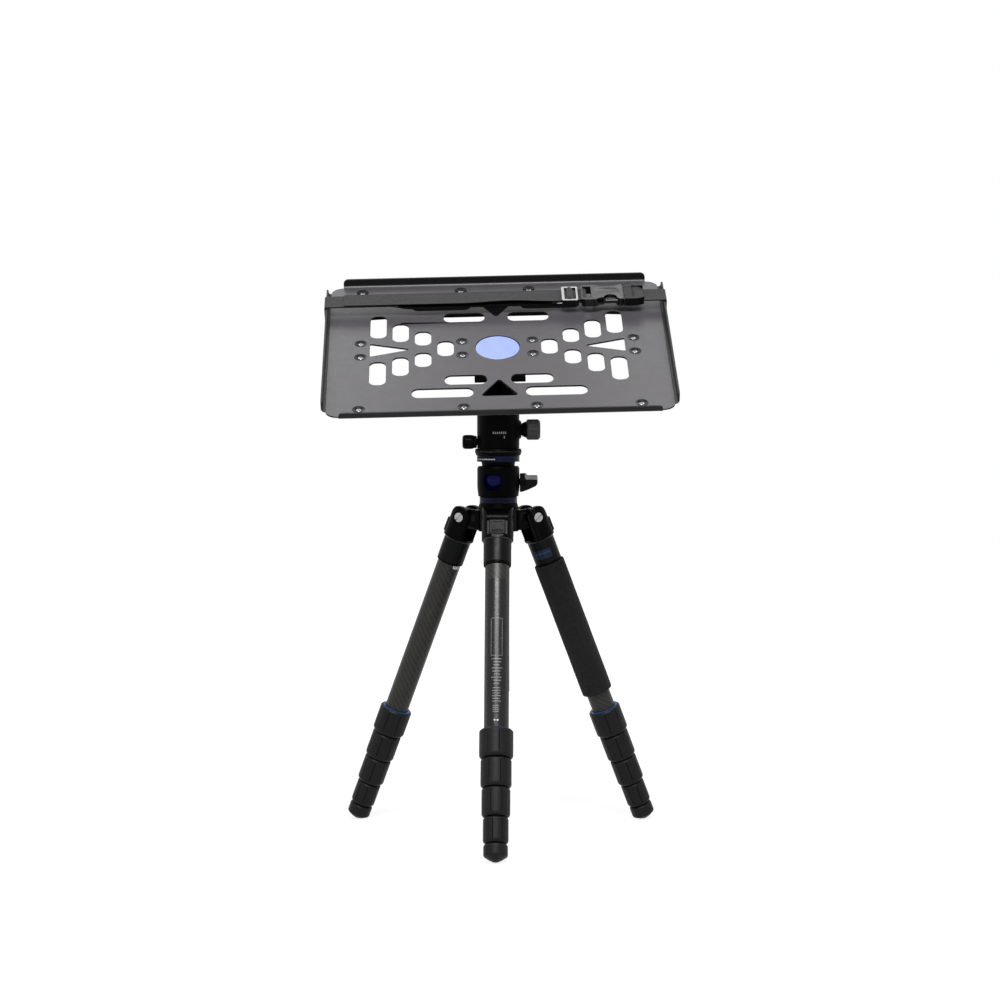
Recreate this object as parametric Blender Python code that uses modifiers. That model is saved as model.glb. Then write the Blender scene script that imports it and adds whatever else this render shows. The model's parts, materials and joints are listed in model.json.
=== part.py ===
# Tripod laptop stand: a five section travel tripod, a levelling base, a ball head and a tilted tray.
# Metres, +Z up. The floor is z = 0 and the centre of the stand's box lies on the Z axis.
# The front leg points along -Y, and a laptop's front edge rests at the tray's -Y lip.

import math

import bmesh
import bpy
from mathutils import Matrix, Vector

MM = 0.001
DEG = math.pi / 180

# Clearances
TOUCH = 0.3 * MM
SLIDE_FIT = 0.3 * MM
BALL_FIT = 0.6 * MM

# Rest pose
LEG_SPLAY = 23.1 * DEG
LEG_AZIMUTHS = {"front": -90 * DEG, "right": 30 * DEG, "left": 150 * DEG}
HEAD_PAN = 2.87 * DEG
TRAY_TILT = 33.1 * DEG
TRAY_ROLL = -1.5 * DEG

# Legs: distances run from the pivot down the leg
PIVOT_RADIUS = 45.0 * MM
LEG_LENGTH = 401.5 * MM
TUBE_DIAMETERS = [28.0 * MM, 24.5 * MM, 21.2 * MM, 18.1 * MM, 15.0 * MM]
TUBE_WALL = 1.3 * MM
UPPER_TUBE_SIDES = 20
TUBE_SIDES = 16
FOOT_SIDES = 16
SOCKET_FLOOR = 27.0 * MM
SECTION_STAGGER = 4.0 * MM
SECTION_HEADROOM = 7.0 * MM
LOCK_DIAMETERS = [38.3 * MM, 34.6 * MM, 31.9 * MM, 28.4 * MM]
LOCK_LENGTHS = [32.6 * MM, 32.4 * MM, 32.2 * MM, 28.8 * MM]
LOCKED_LENGTH = 149.5 * MM
LOCK_SPACE = 1.0 * MM
LOCK_CHAMFER = 1.5 * MM
LOCK_PANELS = 12
LOCK_THREAD_SHARE = 0.55
FOOT_DIAMETER = 27.2 * MM
FOOT_CONE = 7.0 * MM
FOOT_TIP_DIAMETER = 5.0 * MM
FOOT_FLOOR = 11.0 * MM
GRIP_DIAMETER = 36.8 * MM
GRIP_START = 59.0 * MM
GRIP_ABOVE_LOCK = 23.0 * MM
GRIP_LEG = "right"

# Leg casting and spider
YOKE_WIDTH = 36.4 * MM
YOKE_HEAD_RADIUS = 13.5 * MM
YOKE_BODY_DEPTH = 34.0 * MM
YOKE_BODY_RADIUS = 18.3 * MM
YOKE_SLOT_FLOOR = 23.8 * MM
YOKE_RIM_DIAMETER = 34.6 * MM
SLEEVE_DIAMETER = 32.0 * MM
SLEEVE_END = 58.0 * MM
ARM_WIDTH = 23.0 * MM
ARM_END_RADIUS = 10.7 * MM
ARM_FIT = 0.4 * MM
HUB_RADIUS = 23.5 * MM
HUB_BELOW_PIVOT = 15.7 * MM
HUB_ABOVE_PIVOT = 9.7 * MM
SPIGOT_RADIUS = 14.8 * MM
SPIGOT_LENGTH = 14.0 * MM
BOLT_DIAMETER = 8.0 * MM
BOLT_HEAD_DIAMETER = 12.0 * MM
BOLT_HEAD_HEIGHT = 2.2 * MM
BOLT_RECESS = 1.6 * MM
LATCH_TAB_WIDTH = 18.6 * MM
LATCH_START = 7.0 * MM
LATCH_DEPTH = 3.8 * MM
LATCH_TAB_DEPTH = 2.8 * MM

# Centre column
COLUMN_DIAMETER = 25.0 * MM
COLUMN_WALL = 1.5 * MM
COLUMN_LENGTH = 212.0 * MM
COLUMN_SOCKET = 4.0 * MM
COLUMN_CAP_HEIGHT = 7.0 * MM
COLUMN_PLUG = 9.0 * MM
COLLAR_DIAMETER = 36.0 * MM
COLLAR_LENGTH = 22.0 * MM
CONE_DIAMETER = 47.4 * MM
CONE_HEIGHT = 7.1 * MM
BASE_RING_DIAMETER = 44.2 * MM
BASE_RING_HEIGHT = 7.4 * MM
STUD_DIAMETER = 9.4 * MM

# Levelling base
BARREL_DIAMETER = 49.4 * MM
BARREL_FOOT_DIAMETER = 47.0 * MM
BARREL_HEIGHT = 35.4 * MM
BARREL_FLOOR = 5.5 * MM
LEVEL_BALL_RADIUS = 21.0 * MM
LEVEL_BALL_RISE = 20.6 * MM
LEVEL_BALL_FLAT = 12.0 * MM
LEVEL_NECK_RADIUS = 19.0 * MM
PLATFORM_DIAMETER = 49.8 * MM
PLATFORM_RISE = 40.6 * MM
PLATFORM_HEIGHT = 6.9 * MM
WINDOW_WIDTH = 19.4 * MM
WINDOW_LOW = 8.6 * MM
WINDOW_HIGH = 24.0 * MM
WINDOW_TURN = -17 * DEG
LEVER_RISE = 17.0 * MM
LEVER_HUB_DIAMETER = 13.0 * MM
LEVER_THICKNESS = 7.0 * MM
# The wing's outline as distance from the barrel and height over its axis
LEVER_OUTLINE = [
    (0.0, -12.1 * MM),
    (2.5 * MM, -12.0 * MM),
    (9.6 * MM, -9.7 * MM),
    (19.6 * MM, -4.9 * MM),
    (21.0 * MM, -2.0 * MM),
    (21.0 * MM, 6.6 * MM),
    (20.0 * MM, 7.6 * MM),
    (8.5 * MM, 7.6 * MM),
    (7.3 * MM, 10.0 * MM),
    (1.0 * MM, 10.0 * MM),
    (0.0, 9.0 * MM),
]

# Ball head
PAN_BASE_DIAMETER = 54.6 * MM
PAN_BASE_HEIGHT = 8.0 * MM
PAN_PIN_DIAMETER = 16.0 * MM
PAN_PIN_HEIGHT = 7.0 * MM
HOUSING_DIAMETER = 49.4 * MM
HOUSING_HEIGHT = 70.8 * MM
BALL_RADIUS = 18.0 * MM
BALL_RISE = 66.7 * MM
BALL_POCKET = 20.4 * MM
LOCK_KNOB_RISE = 21.9 * MM
LOCK_KNOB_DIAMETER = 24.6 * MM
LOCK_KNOB_LENGTH = 20.4 * MM
LOCK_KNOB_FLANK = 5.5 * MM
LOCK_KNOB_NECK = 1.2 * MM
LOCK_KNOB_NECK_DIAMETER = 16.0 * MM
LOCK_KNOB_SIDES = 8
PAN_KNOB_RISE = 7.6 * MM
PAN_KNOB_DIAMETER = 17.0 * MM
PAN_KNOB_LENGTH = 17.0 * MM
PAN_KNOB_NECK_DIAMETER = 14.4 * MM
KNOB_SHAFT_DIAMETER = 7.0 * MM
KNOB_SHAFT_DEPTH = 8.0 * MM

# Clamp and plate: heights run from the ball's centre up the stem
STEM_DIAMETER = 15.0 * MM
CLAMP_BASE = 30.0 * MM
CLAMP_FLOOR = 46.4 * MM
CLAMP_TOP = 53.4 * MM
CLAMP_LENGTH = 56.0 * MM
CLAMP_RIGHT = 31.5 * MM
CLAMP_LEFT = 27.5 * MM
JAW_LEDGE = 38.3 * MM
JAW_TOP_WIDTH = 8.2 * MM
JAW_INSET = 18.2 * MM
CLAMP_KNOB_DIAMETER = 18.0 * MM
CLAMP_KNOB_LENGTH = 12.0 * MM
CLAMP_KNOB_HEIGHT = 43.0 * MM
CLAMP_SCREW_DIAMETER = 5.0 * MM
DOVETAIL_WIDTH = 38.0 * MM
DOVETAIL_RISE = 5.4 * MM
DOVETAIL_LENGTH = 50.0 * MM
PLATE_WIDTH = 96.0 * MM
PLATE_DEPTH = 44.0 * MM
PLATE_THICKNESS = 4.0 * MM

# Tray
TRAY_HEIGHT = 60.4 * MM
SHEET = 2.0 * MM
FLOOR_WIDTH = 390.0 * MM
FLOOR_FRONT = 138.0 * MM
FLOOR_REAR = 142.0 * MM
BEND_RADIUS = 3.0 * MM
BEND_STEPS = 3
FLANGE_HEIGHT = 13.0 * MM
FLANGE_FRONT = 126.0 * MM
FLANGE_REAR = 130.0 * MM
FLANGE_SLOPE = 12.0 * MM
FLANGE_CHAMFER = 4.0 * MM
FRONT_LIP_WIDTH = 360.0 * MM
FRONT_LIP_HEIGHT = 7.0 * MM
REAR_LIP_WIDTH = 362.0 * MM
REAR_LIP_HEIGHT = 10.0 * MM
LIP_CHAMFER = 4.0 * MM
DISC_HOLE_RADIUS = 26.0 * MM
# Upright slots as centre x, centre y, height, mirrored left to right and front to rear
UPRIGHT_SLOTS = [
    (138.0 * MM, 50.5 * MM, 49.0 * MM),
    (112.0 * MM, 36.7 * MM, 39.5 * MM),
    (86.0 * MM, 23.3 * MM, 30.5 * MM),
    (60.0 * MM, 0.0, 32.5 * MM),
]
UPRIGHT_SLOT_WIDTH = 19.0 * MM
# Level slots as centre x, centre y, length, width
LEVEL_SLOTS = [
    (37.6 * MM, 68.0 * MM, 48.0 * MM, 19.5 * MM),
    (64.3 * MM, 94.4 * MM, 69.5 * MM, 19.0 * MM),
]
SLOT_CORNER = 8.0 * MM
WEDGE_BASE = 147.5 * MM
WEDGE_TIP = 99.0 * MM
WEDGE_HALF_HEIGHT = 14.0 * MM
NOTCH_APEX = 67.0 * MM
NOTCH_BASE = 103.0 * MM
NOTCH_HALF_WIDTH = 22.5 * MM

# Strap and buckle
STRAP_WIDTH = 25.0 * MM
STRAP_CENTRE = 86.5 * MM
STRAP_THICKNESS = 1.4 * MM
STRAP_UNDER = 2.0 * MM
STRAP_TAIL = 16.4 * MM - FLOOR_WIDTH / 2
STRAP_FOLD = FLOOR_WIDTH / 2 - 91.0 * MM
STRAP_FAR_END = FLOOR_WIDTH / 2 - 29.0 * MM
SLIDER_LEFT = FLOOR_WIDTH / 2 - 117.0 * MM
SLIDER_LENGTH = 19.0 * MM
SLIDER_RAIL = 3.0 * MM
SLIDER_BAR = 2.0 * MM
BUCKLE_WIDTH = 33.0 * MM
BUCKLE_THICKNESS = 10.0 * MM
FEMALE_LEFT = FLOOR_WIDTH / 2 - 94.0 * MM
FEMALE_RIGHT = FLOOR_WIDTH / 2 - 45.0 * MM
MALE_RIGHT = FLOOR_WIDTH / 2 - 19.5 * MM
BUCKLE_WALL = 2.0 * MM
BUCKLE_BAR = 2.4 * MM
BUCKLE_FRAME = 13.0 * MM
PRONG_WIDTH = 5.0 * MM
PRONG_REACH = 24.0 * MM


def fresh_scene():
    for obj in list(bpy.data.objects):
        bpy.data.objects.remove(obj, do_unlink=True)


def new_collection(name):
    collection = bpy.data.collections.new(name)
    bpy.context.scene.collection.children.link(collection)
    return collection


fresh_scene()
PARTS = new_collection("tripod_laptop_stand")
TOOLS = new_collection("cutters")


def material(name, colour, roughness, metallic=0.0):
    made = bpy.data.materials.new(name)
    made.use_nodes = True
    shader = made.node_tree.nodes["Principled BSDF"]
    shader.inputs["Base Color"].default_value = (*colour, 1.0)
    shader.inputs["Roughness"].default_value = roughness
    shader.inputs["Metallic"].default_value = metallic
    made.diffuse_color = (*colour, 1.0)
    return made


def empty(name, parent=None, location=(0, 0, 0), rotation=(0, 0, 0)):
    axis = bpy.data.objects.new(name, None)
    axis.empty_display_size = 0.02
    axis.location = location
    axis.rotation_euler = rotation
    axis.parent = parent
    PARTS.objects.link(axis)
    return axis


def part(name, mesh, look, parent, location=(0, 0, 0), rotation=(0, 0, 0)):
    """One piece of the stand, with its own material."""
    obj = bpy.data.objects.new(name, mesh)
    obj.location = location
    obj.rotation_euler = rotation
    obj.parent = parent
    mesh.materials.append(material(name, *look))
    PARTS.objects.link(obj)
    return obj


def tool(name, mesh, parent, location=(0, 0, 0), rotation=(0, 0, 0)):
    """A shape that only cuts or joins another."""
    obj = bpy.data.objects.new(name, mesh)
    obj.location = location
    obj.rotation_euler = rotation
    obj.parent = parent
    obj.hide_render = True
    obj.display_type = "WIRE"
    TOOLS.objects.link(obj)
    return obj


def combine(obj, other, operation):
    boolean = obj.modifiers.new(f"{operation.lower()} {other.name}", "BOOLEAN")
    boolean.operation = operation
    boolean.object = other


def profile_mesh(name, points, closed):
    mesh = bpy.data.meshes.new(name)
    edges = [(i, i + 1) for i in range(len(points) - 1)]
    if closed:
        edges.append((len(points) - 1, 0))
    mesh.from_pydata([(radius, 0, height) for radius, height in points], edges, [])
    return mesh


def turn(obj, steps):
    screw = obj.modifiers.new("turn", "SCREW")
    screw.steps = steps
    screw.render_steps = steps
    screw.use_merge_vertices = True
    screw.merge_threshold = 0.00001
    screw.use_smooth_shade = False


def turned(name, points, look, parent, steps=24, closed=False, location=(0, 0, 0), rotation=(0, 0, 0)):
    """A piece turned about its own Z. Its profile runs down the outer side."""
    obj = part(name, profile_mesh(name, points, closed), look, parent, location, rotation)
    turn(obj, steps)
    return obj


def turned_tool(name, points, parent, steps=24, closed=False, location=(0, 0, 0), rotation=(0, 0, 0)):
    obj = tool(name, profile_mesh(name, points, closed), parent, location, rotation)
    turn(obj, steps)
    return obj


def rod(radius, low, high):
    """The profile of a plain solid cylinder."""
    return [(0, high), (radius, high), (radius, low), (0, low)]


def ring(outer, inner, low, high):
    """The closed profile of a plain tube."""
    return [(outer, high), (outer, low), (inner, low), (inner, high)]


def bore(radius, steps=24):
    """The corner radius at which a bore's flats stand clear of a round of this radius."""
    return (radius + SLIDE_FIT) / math.cos(math.pi / steps)


def arc(centre, radius, start, end, steps):
    """Points on an arc, from one angle to the other."""
    angles = [start + (end - start) * i / steps for i in range(steps + 1)]
    return [(centre[0] + radius * math.cos(a), centre[1] + radius * math.sin(a)) for a in angles]


def rounded_box(centre, width, height, radius, steps=3):
    """The outline of a rectangle with round corners."""
    points = []
    for turn_index, (sx, sy) in enumerate(((1, 1), (-1, 1), (-1, -1), (1, -1))):
        corner = (centre[0] + sx * (width / 2 - radius), centre[1] + sy * (height / 2 - radius))
        start = turn_index * math.pi / 2
        points += arc(corner, radius, start, start + math.pi / 2, steps)
    return points


def rounded_triangle(corners, radius, steps=3):
    """The outline of a triangle, its corners rounded, for corners that run anticlockwise."""
    points = []
    for i, corner in enumerate(corners):
        here = Vector(corner)
        back = (Vector(corners[i - 1]) - here).normalized()
        ahead = (Vector(corners[(i + 1) % 3]) - here).normalized()
        half = math.acos(max(-1.0, min(1.0, back.dot(ahead)))) / 2
        centre = here + (back + ahead).normalized() * radius / math.sin(half)
        touch = here + back * radius / math.tan(half) - centre
        first = math.atan2(touch.y, touch.x)
        points += arc(centre, radius, first, first + math.pi - 2 * half, steps)
    return points


def slab(name, outlines, thickness):
    """A flat outline with any holes, thick about its own plane, as a welded mesh."""
    curve = bpy.data.curves.new(name, "CURVE")
    curve.dimensions = "2D"
    curve.fill_mode = "BOTH"
    curve.extrude = thickness / 2
    for outline in outlines:
        spline = curve.splines.new("POLY")
        spline.points.add(len(outline) - 1)
        for point, (x, y) in zip(spline.points, outline):
            point.co = (x, y, 0, 1)
        spline.use_cyclic_u = True
    holder = bpy.data.objects.new(name, curve)
    bpy.context.scene.collection.objects.link(holder)
    graph = bpy.context.evaluated_depsgraph_get()
    mesh = bpy.data.meshes.new_from_object(holder.evaluated_get(graph))
    bpy.data.objects.remove(holder, do_unlink=True)
    bpy.data.curves.remove(curve)
    weld = bmesh.new()
    weld.from_mesh(mesh)
    bmesh.ops.remove_doubles(weld, verts=weld.verts, dist=0.00001)
    bmesh.ops.recalc_face_normals(weld, faces=weld.faces)
    weld.to_mesh(mesh)
    weld.free()
    mesh.materials.clear()
    return mesh


def block(name, low, high):
    """A box between two corners."""
    size = Vector(high) - Vector(low)
    cube = bmesh.new()
    bmesh.ops.create_cube(cube, size=1.0)
    bmesh.ops.scale(cube, vec=size, verts=cube.verts)
    bmesh.ops.translate(cube, vec=(Vector(low) + Vector(high)) / 2, verts=cube.verts)
    mesh = bpy.data.meshes.new(name)
    cube.to_mesh(mesh)
    cube.free()
    return mesh


# Outline axes: a slab drawn in x, y can be stood up so that it is drawn in y, z or in x, z
DRAWN_IN_YZ = Matrix(((0, 0, 1, 0), (1, 0, 0, 0), (0, 1, 0, 0), (0, 0, 0, 1)))
DRAWN_IN_XZ = Matrix(((1, 0, 0, 0), (0, 0, -1, 0), (0, 1, 0, 0), (0, 0, 0, 1)))
ALONG_X = (0, math.pi / 2, 0)
ALONG_MINUS_X = (0, -math.pi / 2, 0)


def stood(mesh, axes):
    mesh.transform(axes)
    return mesh


# Looks as colour, roughness and metallic value
CAST_BLACK = ((0.012, 0.012, 0.013), 0.35, 0.6)
SATIN_BLACK = ((0.010, 0.010, 0.011), 0.4, 0.5)
CARBON = ((0.045, 0.045, 0.042), 0.38, 0.0)
RUBBER = ((0.012, 0.012, 0.012), 0.8, 0.0)
FOAM = ((0.010, 0.010, 0.010), 0.95, 0.0)
STEEL = ((0.60, 0.60, 0.61), 0.25, 1.0)
BLUE = ((0.02, 0.05, 0.35), 0.3, 0.7)
DISC_BLUE = ((0.16, 0.20, 0.75), 0.3, 0.4)
TRAY_GREY = ((0.085, 0.08, 0.085), 0.42, 0.3)
WEBBING = ((0.015, 0.015, 0.018), 0.85, 0.0)
NYLON = ((0.02, 0.02, 0.022), 0.3, 0.0)

# The pivots stand at the height that puts the feet on the floor
PIVOT_HEIGHT = LEG_LENGTH * math.cos(LEG_SPLAY) + FOOT_TIP_DIAMETER / 2 * math.sin(LEG_SPLAY)
SPIDER_TOP = PIVOT_HEIGHT + HUB_ABOVE_PIVOT
CONE_FOOT = SPIDER_TOP + TOUCH
BASE_RING_FOOT = CONE_FOOT + CONE_HEIGHT + TOUCH
BARREL_FOOT = BASE_RING_FOOT + BASE_RING_HEIGHT + TOUCH
LEVEL_CENTRE = BARREL_FOOT + LEVEL_BALL_RISE
PAN_FOOT = BARREL_FOOT + PLATFORM_RISE + PLATFORM_HEIGHT + TOUCH
HOUSING_FOOT = PAN_FOOT + PAN_BASE_HEIGHT + TOUCH
BALL_CENTRE = HOUSING_FOOT + BALL_RISE

# Leg pieces that follow from the sizes above
LOCK_START = LEG_LENGTH - LOCKED_LENGTH
LOCK_TOPS = [LOCK_START + sum(LOCK_LENGTHS[:i]) + i * LOCK_SPACE for i in range(4)]
TUBE_ENDS = [top + LOCK_THREAD_SHARE * length for top, length in zip(LOCK_TOPS, LOCK_LENGTHS)]
FOOT_TOP = LOCK_TOPS[3] + LOCK_LENGTHS[3] + LOCK_SPACE
GRIP_END = LOCK_START - GRIP_ABOVE_LOCK
TUBE_ENDS.append(LEG_LENGTH - FOOT_FLOOR)
TUBE_STARTS = [SOCKET_FLOOR + TOUCH]
for index in range(1, 5):
    TUBE_STARTS.append(SOCKET_FLOOR + SECTION_HEADROOM + (index - 1) * SECTION_STAGGER)

ROOT = empty("stand")


def leg_axis(side):
    """The hinge of one leg: X along its bolt, -Z down the leg and -Y outwards."""
    azimuth = LEG_AZIMUTHS[side]
    place = (PIVOT_RADIUS * math.cos(azimuth), PIVOT_RADIUS * math.sin(azimuth), PIVOT_HEIGHT)
    return empty(f"{side}_leg_axis", ROOT, place, (-LEG_SPLAY, 0, azimuth + math.pi / 2))


def make_yoke(side, axis):
    """The cast top of a leg: two ears about the spider's arm over a sleeve that holds the tube."""
    half = YOKE_BODY_DEPTH / 2
    lean = math.atan2(half - YOKE_HEAD_RADIUS, YOKE_SLOT_FLOOR)
    head = arc((0, 0), YOKE_HEAD_RADIUS, -lean, math.pi + lean, 10)
    foot = [(-half, -YOKE_SLOT_FLOOR), (-half, -SOCKET_FLOOR), (half, -SOCKET_FLOOR), (half, -YOKE_SLOT_FLOOR)]
    yoke = part(f"{side}_leg_yoke", stood(slab("yoke", [head + foot], YOKE_WIDTH), DRAWN_IN_YZ), CAST_BLACK, axis)
    barrel = rod(YOKE_BODY_RADIUS, -SOCKET_FLOOR - TOUCH, YOKE_HEAD_RADIUS + 5 * MM)
    combine(yoke, turned_tool(f"{side}_yoke_round", barrel, axis, 20), "INTERSECT")
    slot = ARM_WIDTH / 2 + ARM_FIT
    low = (-slot, -YOKE_BODY_DEPTH, -YOKE_SLOT_FLOOR)
    high = (slot, YOKE_BODY_DEPTH, 2 * YOKE_HEAD_RADIUS)
    combine(yoke, tool(f"{side}_yoke_slot", block("slot", low, high), axis), "DIFFERENCE")
    shaft = bore(BOLT_DIAMETER / 2, 12)
    seat = bore(BOLT_HEAD_DIAMETER / 2, 12)
    face = YOKE_WIDTH / 2
    floor = face - BOLT_RECESS - BOLT_HEAD_HEIGHT - TOUCH
    hole = [(0, face + MM), (seat, face + MM), (seat, floor), (shaft, floor)]
    hole += [(radius, -height) for radius, height in reversed(hole)]
    combine(yoke, turned_tool(f"{side}_yoke_bore", hole, axis, 12, rotation=ALONG_X), "DIFFERENCE")
    rim = YOKE_RIM_DIAMETER / 2
    outer = SLEEVE_DIAMETER / 2
    inner = bore(TUBE_DIAMETERS[0] / 2, UPPER_TUBE_SIDES)
    top = YOKE_SLOT_FLOOR + MM
    sleeve = [(0, -top), (rim, -top), (rim, -SOCKET_FLOOR), (outer, -SOCKET_FLOOR - MM), (outer, -SLEEVE_END)]
    sleeve += [(inner, -SLEEVE_END), (inner, -SOCKET_FLOOR), (0, -SOCKET_FLOOR)]
    combine(yoke, turned_tool(f"{side}_yoke_sleeve", sleeve, axis, 20), "UNION")
    return yoke


def make_latch(side, axis):
    """The pull tab between the ears that sets how far the leg opens."""
    wide = ARM_WIDTH / 2 + ARM_FIT - TOUCH
    tab = LATCH_TAB_WIDTH / 2
    inner = -(ARM_END_RADIUS + 2 * TOUCH)
    shoulder = inner - LATCH_DEPTH
    face = shoulder - LATCH_TAB_DEPTH
    outline = [(wide, inner), (-wide, inner), (-wide, shoulder), (-tab, shoulder)]
    outline += [(-tab, face), (tab, face), (tab, shoulder), (wide, shoulder)]
    height = YOKE_SLOT_FLOOR - TOUCH - LATCH_START
    place = (0, 0, -LATCH_START - height / 2)
    part(f"{side}_latch", slab("latch", [outline], height), SATIN_BLACK, axis, place)


def make_tube(side, axis, index):
    """One leg section, numbered from the top."""
    radius = TUBE_DIAMETERS[index] / 2
    steps = UPPER_TUBE_SIDES if index == 0 else TUBE_SIDES
    name = f"{side}_upper_tube" if index == 0 else f"{side}_section_{index + 1}"
    points = ring(radius, radius - TUBE_WALL, -TUBE_ENDS[index], -TUBE_STARTS[index])
    turned(name, points, CARBON, axis, steps, closed=True)


def make_lock(side, axis, index):
    """A twist lock on the end of one tube, closing on the next."""
    radius = LOCK_DIAMETERS[index] / 2
    top = -LOCK_TOPS[index]
    bottom = top - LOCK_LENGTHS[index]
    step = -TUBE_ENDS[index] - TOUCH
    upper = bore(TUBE_DIAMETERS[index] / 2, LOCK_PANELS)
    lower = bore(TUBE_DIAMETERS[index + 1] / 2, LOCK_PANELS)
    chamfer = LOCK_CHAMFER
    points = [(radius - chamfer, top), (radius, top - chamfer), (radius, bottom + chamfer), (radius - chamfer, bottom)]
    points += [(lower, bottom), (lower, step), (upper, step), (upper, top)]
    turned(f"{side}_lock_{index + 1}", points, RUBBER, axis, LOCK_PANELS, closed=True)


def make_foot(side, axis):
    radius = FOOT_DIAMETER / 2
    inner = bore(TUBE_DIAMETERS[4] / 2, FOOT_SIDES)
    floor = -TUBE_ENDS[4] - TOUCH
    points = [(0, floor), (inner, floor), (inner, -FOOT_TOP), (radius - LOCK_CHAMFER, -FOOT_TOP)]
    points += [(radius, -FOOT_TOP - LOCK_CHAMFER), (radius, -LEG_LENGTH + FOOT_CONE)]
    points += [(FOOT_TIP_DIAMETER / 2, -LEG_LENGTH), (0, -LEG_LENGTH)]
    turned(f"{side}_foot", points, RUBBER, axis, FOOT_SIDES)


def make_grip(side, axis):
    """The foam sleeve on one leg, for the hand."""
    outer = GRIP_DIAMETER / 2
    inner = bore(TUBE_DIAMETERS[0] / 2, UPPER_TUBE_SIDES)
    points = [(outer - MM, -GRIP_START), (outer, -GRIP_START - MM), (outer, -GRIP_END + MM), (outer - MM, -GRIP_END)]
    points += [(inner, -GRIP_END), (inner, -GRIP_START)]
    turned("foam_grip", points, FOAM, axis, 20, closed=True)


def make_leg(side):
    axis = leg_axis(side)
    make_yoke(side, axis)
    make_latch(side, axis)
    for index in range(5):
        make_tube(side, axis, index)
    for index in range(4):
        make_lock(side, axis, index)
    make_foot(side, axis)
    if side == GRIP_LEG:
        make_grip(side, axis)


def make_spider():
    """The hub with three arms, each holding its leg's bolt."""
    low = PIVOT_HEIGHT - HUB_BELOW_PIVOT
    inner = bore(COLUMN_DIAMETER / 2)
    points = [(HUB_RADIUS - MM, SPIDER_TOP), (HUB_RADIUS, SPIDER_TOP - MM), (HUB_RADIUS, low), (SPIGOT_RADIUS, low)]
    points += [(SPIGOT_RADIUS, low - SPIGOT_LENGTH), (inner, low - SPIGOT_LENGTH), (inner, SPIDER_TOP)]
    spider = turned("spider", points, CAST_BLACK, ROOT, 24, closed=True)
    end = arc((PIVOT_RADIUS, 0), ARM_END_RADIUS, -math.pi / 2, math.pi / 2, 6)
    root_radius = (inner + HUB_RADIUS) / 2
    top = HUB_ABOVE_PIVOT - MM
    outline = end + [(root_radius, top), (root_radius, MM - HUB_BELOW_PIVOT), (HUB_RADIUS + 4 * MM, MM - HUB_BELOW_PIVOT)]
    recess = (HUB_RADIUS + 2 * MM, -4.8 * MM, PIVOT_RADIUS - ARM_END_RADIUS, 4.0 * MM)
    depth = 1.4 * MM
    for side, azimuth in LEG_AZIMUTHS.items():
        place = (0, 0, PIVOT_HEIGHT)
        turn_to = (0, 0, azimuth)
        mesh = stood(slab("arm", [outline], ARM_WIDTH), DRAWN_IN_XZ)
        arm = tool(f"{side}_arm", mesh, ROOT, place, turn_to)
        for sign in (-1, 1):
            face = sign * ARM_WIDTH / 2
            inside = min(face, face - sign * depth)
            outside = max(face, face + sign * MM) if sign > 0 else face + depth
            corners = ((recess[0], inside if sign > 0 else face - MM, recess[1]), (recess[2], outside, recess[3]))
            pocket = tool(f"{side}_pocket_{sign}", block("pocket", *corners), ROOT, place, turn_to)
            combine(arm, pocket, "DIFFERENCE")
        combine(spider, arm, "UNION")
        head = BOLT_HEAD_DIAMETER / 2
        shaft = BOLT_DIAMETER / 2
        face = YOKE_WIDTH / 2 - BOLT_RECESS
        seat = face - BOLT_HEAD_HEIGHT
        bolt = [(0, face), (head, face), (head, seat), (shaft, seat)]
        bolt += [(radius, -height) for radius, height in reversed(bolt)]
        pivot = (PIVOT_RADIUS * math.cos(azimuth), PIVOT_RADIUS * math.sin(azimuth), PIVOT_HEIGHT)
        lay = (math.pi / 2, 0, azimuth)
        combine(spider, turned_tool(f"{side}_bolt", bolt, ROOT, 12, location=pivot, rotation=lay), "UNION")


def make_column():
    radius = COLUMN_DIAMETER / 2
    top = CONE_FOOT + COLUMN_SOCKET
    bottom = top - COLUMN_LENGTH
    turned("column", ring(radius, radius - COLUMN_WALL, bottom, top), CARBON, ROOT, 24, closed=True)
    plug = radius - COLUMN_WALL - SLIDE_FIT
    high = bottom - TOUCH
    points = [(0, high + COLUMN_PLUG), (plug * 0.96, high + COLUMN_PLUG), (plug * 0.96, high), (radius, high)]
    points += [(radius, high - COLUMN_CAP_HEIGHT + MM), (radius - MM, high - COLUMN_CAP_HEIGHT)]
    points += [(0, high - COLUMN_CAP_HEIGHT)]
    turned("column_cap", points, SATIN_BLACK, ROOT, 20)
    collar_top = PIVOT_HEIGHT - HUB_BELOW_PIVOT - TOUCH
    collar_bottom = collar_top - COLLAR_LENGTH
    spigot = bore(SPIGOT_RADIUS)
    inner = bore(radius)
    ledge = PIVOT_HEIGHT - HUB_BELOW_PIVOT - SPIGOT_LENGTH - TOUCH
    outer = COLLAR_DIAMETER / 2
    points = [(outer - MM, collar_top), (outer, collar_top - MM), (outer, collar_bottom + MM)]
    points += [(outer - MM, collar_bottom), (inner, collar_bottom), (inner, ledge), (spigot, ledge), (spigot, collar_top)]
    turned("column_collar", points, RUBBER, ROOT, 24, closed=True)
    cone_top = CONE_FOOT + CONE_HEIGHT
    stud = STUD_DIAMETER / 2
    socket = bore(radius)
    points = [(0, cone_top + BASE_RING_HEIGHT - MM), (stud, cone_top + BASE_RING_HEIGHT - MM), (stud, cone_top)]
    points += [(BASE_RING_DIAMETER / 2, cone_top), (CONE_DIAMETER / 2, CONE_FOOT + 2 * MM)]
    points += [(CONE_DIAMETER / 2, CONE_FOOT), (socket, CONE_FOOT), (socket, top + TOUCH), (0, top + TOUCH)]
    turned("column_top", points, SATIN_BLACK, ROOT, 24)


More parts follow.
